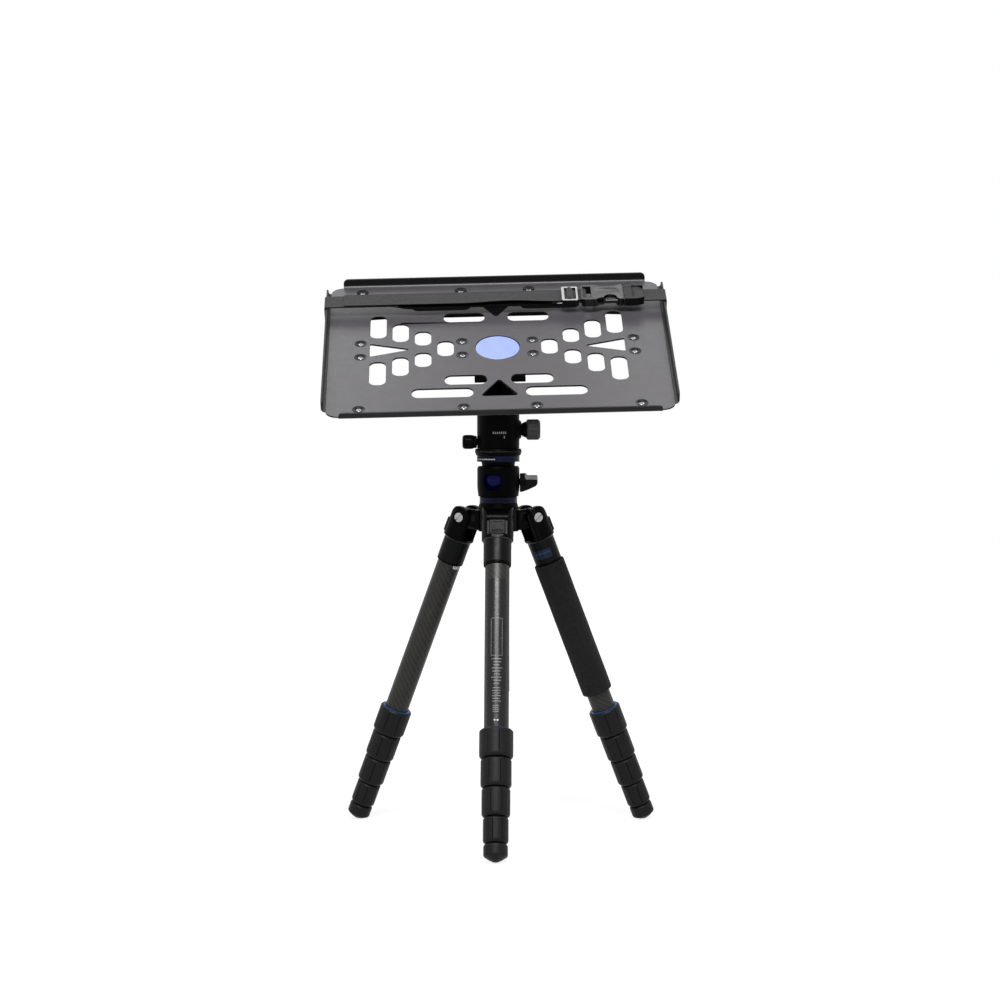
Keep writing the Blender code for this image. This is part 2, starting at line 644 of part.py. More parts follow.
def make_level():
    """The levelling base: a truncated ball in a barrel, with a window and a wing lever."""
    low = BASE_RING_FOOT
    high = low + BASE_RING_HEIGHT
    turned("level_ring", ring(BASE_RING_DIAMETER / 2, bore(STUD_DIAMETER / 2), low, high), BLUE, ROOT, 24, closed=True)
    outer = BARREL_DIAMETER / 2
    foot = BARREL_FOOT_DIAMETER / 2
    inner = (LEVEL_BALL_RADIUS + BALL_FIT) / math.cos(math.pi / 24)
    top = BARREL_FOOT + BARREL_HEIGHT
    floor = BARREL_FOOT + BARREL_FLOOR
    rim = 1.2 * MM
    points = [(inner + rim, top), (outer - rim, top), (outer, top - 2 * rim), (outer, BARREL_FOOT + BARREL_HEIGHT * 0.3)]
    points += [(foot, BARREL_FOOT), (0, BARREL_FOOT)]
    points = [(0, floor), (inner, floor), (inner, top - rim)] + points
    barrel = turned("level_barrel", points, SATIN_BLACK, ROOT, 24)
    half = WINDOW_WIDTH / 2
    window = [(half, WINDOW_HIGH), (-half, WINDOW_HIGH)]
    window += arc((0, WINDOW_LOW + half), half, math.pi, 2 * math.pi, 8)
    mesh = stood(slab("window", [window], BARREL_DIAMETER / 2), DRAWN_IN_XZ)
    mesh.transform(Matrix.Translation((0, -BARREL_DIAMETER / 2, 0)))
    cutter = tool("barrel_window", mesh, ROOT, (0, 0, BARREL_FOOT), (0, 0, WINDOW_TURN))
    combine(barrel, cutter, "DIFFERENCE")
    shaft = KNOB_SHAFT_DIAMETER / 2
    lever_z = BARREL_FOOT + LEVER_RISE
    hole = rod(bore(shaft, 12), inner - MM, outer + MM)
    hole_tool = turned_tool("lever_bore", hole, ROOT, 12, location=(0, 0, lever_z), rotation=ALONG_X)
    combine(barrel, hole_tool, "DIFFERENCE")
    make_level_lever(lever_z, shaft, inner, outer)
    make_level_ball()


def make_level_lever(height, shaft, inner, outer):
    hub = LEVER_HUB_DIAMETER / 2
    start = outer + TOUCH
    points = [(0, start + 6 * MM), (hub - MM, start + 6 * MM), (hub, start + 5 * MM), (hub, start), (shaft, start)]
    points += [(shaft, inner + TOUCH), (0, inner + TOUCH)]
    lever = turned("level_lever", points, SATIN_BLACK, ROOT, 12, location=(0, 0, height), rotation=ALONG_X)
    paddle = [(start + x, z) for x, z in LEVER_OUTLINE]
    mesh = stood(slab("paddle", [paddle], LEVER_THICKNESS), DRAWN_IN_XZ)
    combine(lever, tool("lever_paddle", mesh, ROOT, (0, 0, height)), "UNION")


def make_level_ball():
    """The tilting ball with its neck and platform."""
    radius = LEVEL_BALL_RADIUS
    neck = LEVEL_NECK_RADIUS
    platform = BARREL_FOOT + PLATFORM_RISE - LEVEL_CENTRE
    top = platform + PLATFORM_HEIGHT
    disc = PLATFORM_DIAMETER / 2
    start = math.acos(neck / radius)
    end = -math.asin(LEVEL_BALL_FLAT / radius)
    points = [(0, top), (disc, top), (disc, platform), (neck + 0.9 * MM, platform)]
    points += [(neck, platform - 5 * MM)] + arc((0, 0), radius, start, end, 5) + [(0, -LEVEL_BALL_FLAT)]
    axis = empty("level_axis", ROOT, (0, 0, LEVEL_CENTRE))
    turned("level_ball", points, BLUE, axis, 24)


def knob_hole(name, body, parent, height, side):
    """A blind hole for a knob's shaft, in the right or the left side of the housing."""
    radius = bore(KNOB_SHAFT_DIAMETER / 2, 12)
    points = rod(radius, HOUSING_DIAMETER / 2 - KNOB_SHAFT_DEPTH - TOUCH, HOUSING_DIAMETER / 2 + 5 * MM)
    rotation = ALONG_X if side > 0 else ALONG_MINUS_X
    combine(body, turned_tool(name, points, parent, 12, location=(0, 0, height), rotation=rotation), "DIFFERENCE")


def make_head():
    """The panning base and the ball's housing with its two knobs."""
    base = PAN_BASE_DIAMETER / 2
    pin = PAN_PIN_DIAMETER / 2
    high = PAN_FOOT + PAN_BASE_HEIGHT
    points = [(0, high + PAN_PIN_HEIGHT), (pin, high + PAN_PIN_HEIGHT), (pin, high), (base - MM, high)]
    points += [(base, high - 2.5 * MM), (base, PAN_FOOT + 2.5 * MM), (base - 1.5 * MM, PAN_FOOT), (0, PAN_FOOT)]
    turned("pan_base", points, SATIN_BLACK, ROOT, 24)
    pan = empty("pan_axis", ROOT, (0, 0, HOUSING_FOOT), (0, 0, HEAD_PAN))
    outer = HOUSING_DIAMETER / 2
    pocket = (BALL_RADIUS + BALL_FIT) / math.cos(math.pi / 24)
    floor = BALL_RISE - BALL_POCKET
    pin_hole = bore(pin)
    recess = PAN_PIN_HEIGHT + 2 * TOUCH
    points = [(0, floor), (pocket * 0.6, floor), (pocket, BALL_RISE - BALL_RADIUS / 2), (pocket, HOUSING_HEIGHT)]
    points += [(outer - 3 * MM, HOUSING_HEIGHT), (outer, HOUSING_HEIGHT - 10 * MM), (outer, 0)]
    points += [(pin_hole, 0), (pin_hole, recess), (0, recess)]
    housing = turned("head_housing", points, SATIN_BLACK, pan, 24)
    boss = [(0, outer + 2.3 * MM), (9.5 * MM, outer + 2.3 * MM), (16 * MM, outer - 6 * MM), (0, outer - 6 * MM)]
    boss_tool = turned_tool("knob_boss", boss, pan, 20, location=(0, 0, LOCK_KNOB_RISE), rotation=ALONG_X)
    combine(housing, boss_tool, "UNION")
    knob_hole("lock_knob_hole", housing, pan, LOCK_KNOB_RISE, 1)
    knob_hole("pan_knob_hole", housing, pan, PAN_KNOB_RISE, -1)
    make_lock_knob(pan, outer)
    make_pan_knob(pan, outer)
    make_ball(pan)


def make_lock_knob(pan, outer):
    shaft = KNOB_SHAFT_DIAMETER / 2
    inside = outer - KNOB_SHAFT_DEPTH
    start = outer + 2.3 * MM + TOUCH
    body = start + LOCK_KNOB_NECK
    end = body + LOCK_KNOB_LENGTH
    grip = LOCK_KNOB_DIAMETER / 2
    neck = LOCK_KNOB_NECK_DIAMETER / 2
    points = [(0, end), (grip - 2.5 * MM, end), (grip, end - 2.5 * MM), (grip, body + LOCK_KNOB_FLANK)]
    points += [(neck, body), (neck - MM, start), (shaft, start), (shaft, inside), (0, inside)]
    turned("lock_knob", points, RUBBER, pan, LOCK_KNOB_SIDES * 2, location=(0, 0, LOCK_KNOB_RISE), rotation=ALONG_X)


def make_pan_knob(pan, outer):
    shaft = KNOB_SHAFT_DIAMETER / 2
    inside = outer - KNOB_SHAFT_DEPTH
    start = outer + TOUCH
    end = start + PAN_KNOB_LENGTH
    grip = PAN_KNOB_DIAMETER / 2
    points = [(0, end), (grip - 3 * MM, end), (grip - MM, end - MM), (grip, end - 3 * MM), (grip, start + 6 * MM)]
    neck = PAN_KNOB_NECK_DIAMETER / 2
    points += [(neck, start + 3 * MM), (neck, start), (shaft, start), (shaft, inside), (0, inside)]
    place = (0, 0, PAN_KNOB_RISE)
    turned("pan_knob", points, RUBBER, pan, 16, location=place, rotation=ALONG_MINUS_X)


def make_ball(pan):
    """The ball, which pitches, and on it the stem, which rolls."""
    pitch = empty("pitch_axis", pan, (0, 0, BALL_RISE), (TRAY_TILT, 0, 0))
    turned("ball", arc((0, 0), BALL_RADIUS, math.pi / 2, -math.pi / 2, 10), STEEL, pitch, 18)
    roll = empty("roll_axis", pitch, (0, 0, 0), (0, TRAY_ROLL, 0))
    make_clamp(roll)
    make_plate(roll)
    make_tray(empty("tray_axis", roll, (0, 0, TRAY_HEIGHT)))


def dovetail_edge(height):
    """Half the width between the jaws at a height above the groove's floor."""
    return DOVETAIL_WIDTH / 2 - height + TOUCH * (1 + math.sqrt(2))


def make_clamp(roll):
    """The quick release clamp: a body with a fixed jaw, a sliding jaw, and the knob that draws it."""
    rise = CLAMP_TOP - CLAMP_FLOOR - 1.6 * MM
    foot = dovetail_edge(0)
    lip = dovetail_edge(rise)
    jaw_outer = lip + JAW_TOP_WIDTH
    outline = [(-CLAMP_LEFT, CLAMP_BASE), (CLAMP_RIGHT, CLAMP_BASE), (CLAMP_RIGHT, CLAMP_BASE + 6 * MM)]
    outline += [(jaw_outer, CLAMP_BASE + 16 * MM), (jaw_outer, CLAMP_TOP), (lip, CLAMP_TOP)]
    outline += [(lip, CLAMP_FLOOR + rise), (foot, CLAMP_FLOOR), (-JAW_INSET, CLAMP_FLOOR)]
    outline += [(-JAW_INSET, JAW_LEDGE), (-CLAMP_LEFT, JAW_LEDGE)]
    mesh = stood(slab("clamp", [outline], CLAMP_LENGTH), DRAWN_IN_XZ)
    clamp = part("clamp_body", mesh, SATIN_BLACK, roll)
    stem = STEM_DIAMETER / 2
    foot_height = BALL_RADIUS + 2 * TOUCH
    points = [(0, CLAMP_BASE + MM), (stem + 4 * MM, CLAMP_BASE + MM), (stem + 4 * MM, CLAMP_BASE - 2 * MM)]
    points += [(stem, CLAMP_BASE - 5 * MM), (stem, foot_height), (0, foot_height)]
    combine(clamp, turned_tool("stem", points, roll, 20), "UNION")
    screw = CLAMP_SCREW_DIAMETER / 2
    reach = 8 * MM
    screw_hole = rod(bore(screw, 12), reach - TOUCH, CLAMP_LEFT + MM)
    place = (0, 0, CLAMP_KNOB_HEIGHT)
    hole = turned_tool("screw_hole", screw_hole, roll, 12, location=place, rotation=ALONG_MINUS_X)
    combine(clamp, hole, "DIFFERENCE")
    inner = JAW_INSET + TOUCH
    outline = [(-CLAMP_LEFT, JAW_LEDGE + TOUCH), (-inner, JAW_LEDGE + TOUCH), (-inner, CLAMP_FLOOR - TOUCH)]
    outline += [(-foot - TOUCH, CLAMP_FLOOR), (-lip, CLAMP_FLOOR + rise), (-lip, CLAMP_TOP), (-jaw_outer, CLAMP_TOP)]
    outline += [(-CLAMP_LEFT, CLAMP_TOP - 5 * MM)]
    jaw = part("clamp_jaw", stood(slab("jaw", [outline], CLAMP_LENGTH), DRAWN_IN_XZ), SATIN_BLACK, roll)
    combine(jaw, hole, "DIFFERENCE")
    grip = CLAMP_KNOB_DIAMETER / 2
    start = CLAMP_LEFT + TOUCH
    end = start + CLAMP_KNOB_LENGTH
    points = [(0, end), (grip - MM, end), (grip, end - MM), (grip, start + 3 * MM), (6 * MM, start)]
    points += [(screw, start), (screw, reach), (0, reach)]
    turned("clamp_knob", points, RUBBER, roll, 16, location=place, rotation=ALONG_MINUS_X)


def make_plate(roll):
    """The plate under the tray: a dovetail, a flange, and the disc that shows in the tray's hole."""
    underside = TRAY_HEIGHT - SHEET - TOUCH
    flange_low = underside - PLATE_THICKNESS
    place = (0, 0, flange_low + PLATE_THICKNESS / 2)
    outline = rounded_box((0, 0), PLATE_WIDTH, PLATE_DEPTH, 6 * MM)
    plate = part("mount_plate", slab("plate", [outline], PLATE_THICKNESS), DISC_BLUE, roll, place)
    wide = DOVETAIL_WIDTH / 2
    narrow = wide - DOVETAIL_RISE
    low = CLAMP_FLOOR + TOUCH
    shape = [(-wide, low), (wide, low), (narrow, low + DOVETAIL_RISE), (narrow, flange_low + MM)]
    shape += [(-narrow, flange_low + MM), (-narrow, low + DOVETAIL_RISE)]
    mesh = stood(slab("dovetail", [shape], DOVETAIL_LENGTH), DRAWN_IN_XZ)
    combine(plate, tool("dovetail", mesh, roll), "UNION")
    disc = rod(DISC_HOLE_RADIUS - TOUCH, underside - MM, TRAY_HEIGHT - 0.4 * MM)
    combine(plate, turned_tool("disc", disc, roll, 24), "UNION")


def floor_outline():
    """The tray's flat floor, without its lips and flanges, anticlockwise from the right flange."""
    side = FLOOR_WIDTH / 2
    corners = ((1, 1, REAR_LIP_WIDTH), (-1, 1, REAR_LIP_WIDTH), (-1, -1, FRONT_LIP_WIDTH), (1, -1, FRONT_LIP_WIDTH))
    points = []
    for index, (sx, sy, lip) in enumerate(corners):
        edge = FLOOR_REAR if sy > 0 else FLOOR_FRONT
        flange = FLANGE_REAR if sy > 0 else FLANGE_FRONT
        reach = (side - lip / 2, edge - flange)
        centre = (sx * (side - reach[0]), sy * (edge - reach[1]))
        start = index * math.pi / 2
        unit = arc((0, 0), 1.0, start, start + math.pi / 2, 4)
        points += [(centre[0] + x * reach[0], centre[1] + y * reach[1]) for x, y in unit]
    return points


def tray_holes():
    """Every opening in the tray's floor."""
    holes = [arc((0, 0), DISC_HOLE_RADIUS, 0, 2 * math.pi * 31 / 32, 31)]
    for x, y, height in UPRIGHT_SLOTS:
        for sx in (-1, 1):
            for sy in (-1, 1) if y else (1,):
                holes.append(rounded_box((sx * x, sy * y), UPRIGHT_SLOT_WIDTH, height, SLOT_CORNER))
    for x, y, length, width in LEVEL_SLOTS:
        for sx in (-1, 1):
            for sy in (-1, 1):
                holes.append(rounded_box((sx * x, sy * y), length, width, SLOT_CORNER))
    wedge = [(WEDGE_TIP, 0), (WEDGE_BASE, -WEDGE_HALF_HEIGHT), (WEDGE_BASE, WEDGE_HALF_HEIGHT)]
    notch = [(0, NOTCH_APEX), (NOTCH_HALF_WIDTH, NOTCH_BASE), (-NOTCH_HALF_WIDTH, NOTCH_BASE)]
    for shape, radius in ((wedge, 1.5 * MM), (notch, 3 * MM)):
        holes.append(rounded_triangle(shape, radius))
        holes.append(rounded_triangle([(-x, -y) for x, y in shape], radius))
    return holes


def fold_up(shell, start, end, outward, height, chamfer, slope):
    """Bends the edge between two floor corners up into a flange with shaped ends."""
    near = 0.00002
    wanted = (Vector((*start, 0)), Vector((*end, 0)))
    edge = next(
        e for e in shell.edges
        if min((e.verts[0].co - w).length for w in wanted) < near
        and min((e.verts[1].co - w).length for w in wanted) < near
    )
    outward = Vector((*outward, 0))
    rise = Vector((0, 0, 1))
    along = (wanted[1] - wanted[0]).normalized()
    levels = [(BEND_RADIUS * math.sin(a), BEND_RADIUS * (1 - math.cos(a)), 0.0)
              for a in [math.pi / 2 * i / BEND_STEPS for i in range(1, BEND_STEPS + 1)]]
    levels += [(BEND_RADIUS, height - chamfer, 0.0), (BEND_RADIUS, height, 1.0)]
    for out, up, top in levels:
        made = bmesh.ops.extrude_edge_only(shell, edges=[edge])["geom"]
        edge = next(g for g in made if isinstance(g, bmesh.types.BMEdge))
        verts = sorted(edge.verts, key=lambda v: (v.co - wanted[0]).length)
        share = up / height
        ends = (chamfer * top, slope * share + (chamfer * top if slope == 0 else 0))
        for vert, base, inset, sign in zip(verts, wanted, ends, (1, -1)):
            vert.co = base + along * inset * sign + outward * out + rise * up


def make_tray(axis):
    """The folded sheet tray: a pierced floor, two side flanges, a front lip and a rear lip."""
    outline = floor_outline()
    curve = bpy.data.curves.new("tray_floor", "CURVE")
    curve.dimensions = "2D"
    curve.fill_mode = "BOTH"
    for hole in [outline] + tray_holes():
        spline = curve.splines.new("POLY")
        spline.points.add(len(hole) - 1)
        for point, (x, y) in zip(spline.points, hole):
            point.co = (x, y, 0, 1)
        spline.use_cyclic_u = True
    holder = bpy.data.objects.new("tray_floor", curve)
    bpy.context.scene.collection.objects.link(holder)
    graph = bpy.context.evaluated_depsgraph_get()
    mesh = bpy.data.meshes.new_from_object(holder.evaluated_get(graph))
    bpy.data.objects.remove(holder, do_unlink=True)
    bpy.data.curves.remove(curve)
    mesh.materials.clear()
    shell = bmesh.new()
    shell.from_mesh(mesh)
    bmesh.ops.remove_doubles(shell, verts=shell.verts, dist=0.00001)
    side = FLOOR_WIDTH / 2
    fold_up(shell, (side, -FLANGE_FRONT), (side, FLANGE_REAR), (1, 0), FLANGE_HEIGHT, FLANGE_CHAMFER, FLANGE_SLOPE)
    fold_up(shell, (-side, -FLANGE_FRONT), (-side, FLANGE_REAR), (-1, 0), FLANGE_HEIGHT, FLANGE_CHAMFER, FLANGE_SLOPE)
    front = FRONT_LIP_WIDTH / 2
    rear = REAR_LIP_WIDTH / 2
    fold_up(shell, (-front, -FLOOR_FRONT), (front, -FLOOR_FRONT), (0, -1), FRONT_LIP_HEIGHT, LIP_CHAMFER, 0)
    fold_up(shell, (rear, FLOOR_REAR), (-rear, FLOOR_REAR), (0, 1), REAR_LIP_HEIGHT, LIP_CHAMFER, 0)
    bmesh.ops.recalc_face_normals(shell, faces=shell.faces)
    if shell.faces[0].normal.z < 0:
        bmesh.ops.reverse_faces(shell, faces=shell.faces)
    shell.to_mesh(mesh)
    shell.free()
    tray = part("tray", mesh, TRAY_GREY, axis)
    thick = tray.modifiers.new("sheet", "SOLIDIFY")
    thick.thickness = SHEET
    thick.offset = -1
    thick.use_even_offset = True
    make_strap(axis)
    make_slider(axis)
    make_female_buckle(axis)
    make_male_buckle(axis)


def strap_height():
    """The middle of the webbing's lower layer, just over the flanges."""
    return FLANGE_HEIGHT + TOUCH + STRAP_THICKNESS / 2


def make_strap(axis):
    """One length of webbing, from its tail over the slider's fold, round the tray to the buckle."""
    lower = strap_height()
    upper = lower + STRAP_THICKNESS + TOUCH
    side = FLOOR_WIDTH / 2 + BEND_RADIUS + SHEET + TOUCH + STRAP_THICKNESS / 2
    under = -SHEET - STRAP_UNDER - STRAP_THICKNESS / 2
    bar = BUCKLE_BAR / 2 * math.sqrt(2) + TOUCH + STRAP_THICKNESS / 2
    middle = (lower + upper) / 2
    corner = STRAP_THICKNESS
    path = [(STRAP_TAIL, upper), (SLIDER_LEFT + SLIDER_LENGTH, upper), (STRAP_FOLD - MM, middle + bar)]
    path += arc((STRAP_FOLD, middle), bar, math.pi / 2, -math.pi / 2, 6)[1:]
    path += [(SLIDER_LEFT + SLIDER_LENGTH, lower)]
    path += arc((-side + corner, lower - corner), corner, math.pi / 2, math.pi, 3)
    path += arc((-side + corner, under + corner), corner, math.pi, 1.5 * math.pi, 3)
    path += arc((side - corner, under + corner), corner, 1.5 * math.pi, 2 * math.pi, 3)
    path += arc((side - corner, lower - corner), corner, 0, math.pi / 2, 3)
    path += [(STRAP_FAR_END + 8 * MM, lower)]
    path += arc((STRAP_FAR_END, middle), bar, -math.pi / 2, -1.5 * math.pi, 6)
    mesh = bpy.data.meshes.new("strap")
    front = STRAP_CENTRE - STRAP_WIDTH / 2
    rear = STRAP_CENTRE + STRAP_WIDTH / 2
    count = len(path)
    verts = [(x, front, z) for x, z in path] + [(x, rear, z) for x, z in path]
    faces = [(i, i + 1, count + i + 1, count + i) for i in range(count - 1)]
    mesh.from_pydata(verts, [], faces)
    strap = part("strap", mesh, WEBBING, axis)
    thick = strap.modifiers.new("webbing", "SOLIDIFY")
    thick.thickness = STRAP_THICKNESS
    thick.offset = 0
    thick.use_even_offset = True


def make_slider(axis):
    """The three bar slider that holds the webbing's tail."""
    lower = strap_height()
    floor = lower - STRAP_THICKNESS / 2 - TOUCH
    roof = lower + 1.5 * STRAP_THICKNESS + 2 * TOUCH
    edge = STRAP_WIDTH / 2 + TOUCH
    left = SLIDER_LEFT
    right = SLIDER_LEFT + SLIDER_LENGTH
    y = STRAP_CENTRE
    body = block("slider", (left, y + edge, floor - SLIDER_BAR), (right, y + edge + SLIDER_RAIL, roof + SLIDER_BAR))
    slider = part("strap_slider", body, NYLON, axis)
    rail = block("rail", (left, y - edge - SLIDER_RAIL, floor - SLIDER_BAR), (right, y - edge, roof + SLIDER_BAR))
    combine(slider, tool("slider_rail", rail, axis), "UNION")
    reach = edge + SLIDER_RAIL / 2
    for name, start, end, low, high in (
        ("left", left, left + 4 * MM, roof, roof + SLIDER_BAR - 0.2 * MM),
        ("right", right - 4 * MM, right, roof, roof + SLIDER_BAR - 0.2 * MM),
        ("middle", (left + right) / 2 - 2 * MM, (left + right) / 2 + 2 * MM, floor - SLIDER_BAR + 0.2 * MM, floor),
    ):
        bar = block("bar", (start, y - reach, low), (end, y + reach, high))
        combine(slider, tool(f"slider_{name}_bar", bar, axis), "UNION")


def buckle_level():
    return strap_height() + STRAP_THICKNESS / 2 + TOUCH / 2


def make_female_buckle(axis):
    """The buckle's socket: a hollow shell with scooped sides, and a frame with the bar for the fold."""
    half = BUCKLE_WIDTH / 2
    middle = buckle_level()
    y = STRAP_CENTRE
    shell_left = FEMALE_LEFT + BUCKLE_FRAME
    scoop = 4 * MM
    outline = [(FEMALE_LEFT, -half + 3 * MM), (FEMALE_LEFT + 3 * MM, -half)]
    outline += [(shell_left + 4 * MM, -half), (shell_left + 9 * MM, -half + scoop)]
    outline += [(FEMALE_RIGHT - 9 * MM, -half + scoop), (FEMALE_RIGHT - 4 * MM, -half), (FEMALE_RIGHT, -half)]
    outline += [(x, -v) for x, v in reversed(outline)]
    mesh = slab("female", [outline], BUCKLE_THICKNESS)
    female = part("buckle_female", mesh, NYLON, axis, (0, y, middle))
    inner = half - BUCKLE_WALL
    hollow = BUCKLE_THICKNESS / 2 - BUCKLE_WALL
    cavity = block("cavity", (shell_left + BUCKLE_WALL, -inner, -hollow), (FEMALE_RIGHT + MM, inner, hollow))
    combine(female, tool("female_cavity", cavity, axis, (0, y, middle)), "DIFFERENCE")
    edge = STRAP_WIDTH / 2 + TOUCH
    bar = BUCKLE_BAR / 2
    gap = 4 * MM
    deep = BUCKLE_THICKNESS
    slot = block("slot", (STRAP_FOLD + bar, -edge, -deep), (STRAP_FOLD + bar + gap, edge, deep))
    combine(female, tool("female_slot", slot, axis, (0, y, middle)), "DIFFERENCE")
    mouth = block("mouth", (FEMALE_LEFT - MM, -edge, -deep), (STRAP_FOLD - bar, edge, deep))
    combine(female, tool("female_mouth", mouth, axis, (0, y, middle)), "DIFFERENCE")
    over = block("over", (STRAP_FOLD - bar - MM, -edge, bar), (STRAP_FOLD + bar + MM, edge, deep))
    combine(female, tool("female_over", over, axis, (0, y, middle)), "DIFFERENCE")
    beneath = block("beneath", (STRAP_FOLD - bar - MM, -edge, -deep), (STRAP_FOLD + bar + MM, edge, -bar))
    combine(female, tool("female_beneath", beneath, axis, (0, y, middle)), "DIFFERENCE")


def make_male_buckle(axis):
    """The buckle's plug: a frame with the far bar, and two prongs with a guide inside the socket."""
    half = BUCKLE_WIDTH / 2
    middle = buckle_level()
    y = STRAP_CENTRE
    start = FEMALE_RIGHT + TOUCH
    outline = [(start, -half), (MALE_RIGHT - 3 * MM, -half), (MALE_RIGHT, -half + 3 * MM)]
    outline += [(x, -v) for x, v in reversed(outline)]
    male = part("buckle_male", slab("male", [outline], BUCKLE_THICKNESS), NYLON, axis, (0, y, middle))
    inner = half - BUCKLE_WALL - 2 * TOUCH
    height = BUCKLE_THICKNESS / 2 - BUCKLE_WALL - TOUCH
    tip = start - PRONG_REACH
    for sign in (-1, 1):
        low = sorted((sign * inner, sign * (inner - PRONG_WIDTH)))
        arm = block("prong", (tip, low[0], -height), (start + 2 * MM, low[1], height))
        combine(male, tool(f"prong_{sign}", arm, axis, (0, y, middle)), "UNION")
    guide = block("guide", (tip + 6 * MM, -2.5 * MM, -height), (start + 2 * MM, 2.5 * MM, height))
    combine(male, tool("guide", guide, axis, (0, y, middle)), "UNION")
    edge = STRAP_WIDTH / 2 + TOUCH
    bar = BUCKLE_BAR / 2
    deep = BUCKLE_THICKNESS
    before = block("before", (STRAP_FAR_END - bar - 4 * MM, -edge, -deep), (STRAP_FAR_END - bar, edge, deep))
    combine(male, tool("male_before", before, axis, (0, y, middle)), "DIFFERENCE")
    after = block("after", (STRAP_FAR_END + bar, -edge, -deep), (MALE_RIGHT + MM, edge, deep))
    combine(male, tool("male_after", after, axis, (0, y, middle)), "DIFFERENCE")
    over = block("over", (STRAP_FAR_END - bar - MM, -edge, bar), (STRAP_FAR_END + bar + MM, edge, deep))
    combine(male, tool("male_over", over, axis, (0, y, middle)), "DIFFERENCE")
    beneath = block("beneath", (STRAP_FAR_END - bar - MM, -edge, -deep), (STRAP_FAR_END + bar + MM, edge, -bar))
    combine(male, tool("male_beneath", beneath, axis, (0, y, middle)), "DIFFERENCE")


def centre_on_origin():
    """Moves the whole stand so that the middle of its box is over the origin."""
    bpy.context.view_layer.update()
    graph = bpy.context.evaluated_depsgraph_get()
    places = []
    for obj in PARTS.objects:
        if obj.type != "MESH":
            continue
        shape = obj.evaluated_get(graph)
        places += [shape.matrix_world @ vert.co for vert in shape.to_mesh().vertices]
        shape.to_mesh_clear()
    middle = [(min(p[axis] for p in places) + max(p[axis] for p in places)) / 2 for axis in (0, 1)]
    ROOT.location = (-middle[0], -middle[1], 0)


make_spider()
for leg_side in LEG_AZIMUTHS:
    make_leg(leg_side)
make_column()
make_level()
make_head()
centre_on_origin()
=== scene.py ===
import json
import math
import random

import bmesh
import bpy
from mathutils import Euler, Matrix, Vector


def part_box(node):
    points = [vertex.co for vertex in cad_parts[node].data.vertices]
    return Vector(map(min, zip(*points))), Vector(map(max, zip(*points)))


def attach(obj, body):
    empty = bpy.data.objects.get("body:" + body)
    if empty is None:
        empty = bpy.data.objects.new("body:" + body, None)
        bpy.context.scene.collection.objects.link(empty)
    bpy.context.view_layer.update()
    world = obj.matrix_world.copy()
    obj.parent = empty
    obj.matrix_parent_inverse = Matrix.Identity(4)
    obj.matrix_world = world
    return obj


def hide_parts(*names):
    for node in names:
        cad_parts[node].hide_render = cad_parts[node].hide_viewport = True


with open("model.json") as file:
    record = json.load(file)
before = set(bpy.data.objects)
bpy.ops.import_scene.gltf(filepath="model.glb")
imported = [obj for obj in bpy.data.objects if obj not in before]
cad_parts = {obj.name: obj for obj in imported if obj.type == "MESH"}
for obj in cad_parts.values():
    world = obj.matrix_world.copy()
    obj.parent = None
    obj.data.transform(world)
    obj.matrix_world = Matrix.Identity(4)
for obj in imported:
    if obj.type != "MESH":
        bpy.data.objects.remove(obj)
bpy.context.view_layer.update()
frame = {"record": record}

MM = 0.001  # metres. Shapes and places are drawn in millimetres, and turned into metres where meshes are made
DEG = math.pi / 180
TURN = 2 * math.pi
SHARP = 38 * DEG
TINY = 1e-4

# Places, from the same sizes as the frame
LEG_SPLAY = 23.1 * DEG
LEG_AZIMUTHS = {"front": -90 * DEG, "right": 30 * DEG, "left": 150 * DEG}
PIVOT_RADIUS = 45.0
LEG_LENGTH = 401.5
FOOT_TIP_RADIUS = 2.5
PIVOT_HEIGHT = LEG_LENGTH * math.cos(LEG_SPLAY) + FOOT_TIP_RADIUS * math.sin(LEG_SPLAY)
SPIDER_TOP = PIVOT_HEIGHT + 9.7
CONE_FOOT = SPIDER_TOP + 0.3
RING_FOOT = CONE_FOOT + 7.4
BARREL_FOOT = RING_FOOT + 7.7
LEVEL_CENTRE = BARREL_FOOT + 20.6
PLATFORM_FOOT = BARREL_FOOT + 40.6
PAN_FOOT = PLATFORM_FOOT + 7.2
HOUSING_FOOT = PAN_FOOT + 8.3
HEAD_PAN = 2.87 * DEG
BALL_RISE = 66.7
TRAY_TILT = 33.1 * DEG
TRAY_ROLL = -1.5 * DEG
TRAY_HEIGHT = 60.4

TUBE_RADII = [14.0, 12.25, 10.6, 9.05, 7.5]
TUBE_WALL = 1.3
LOCK_RADII = [19.15, 17.3, 15.95, 14.2]
LOCK_LENGTHS = [32.6, 32.4, 32.2, 28.8]
LOCK_TOPS = [252.0 + sum(LOCK_LENGTHS[:i]) + i for i in range(4)]
TUBE_ENDS = [top + 0.55 * length for top, length in zip(LOCK_TOPS, LOCK_LENGTHS)] + [LEG_LENGTH - 11]
TUBE_STARTS = [27.3, 34.0, 38.0, 42.0, 46.0]

BODY_OF = {node: body for body, nodes in frame["record"]["behaviour"]["bodies"].items() for node in nodes}


def translation(x, y, z):
    return Matrix.Translation((x * MM, y * MM, z * MM))


def spin(angle):
    return Matrix.Rotation(angle, 4, "Z")


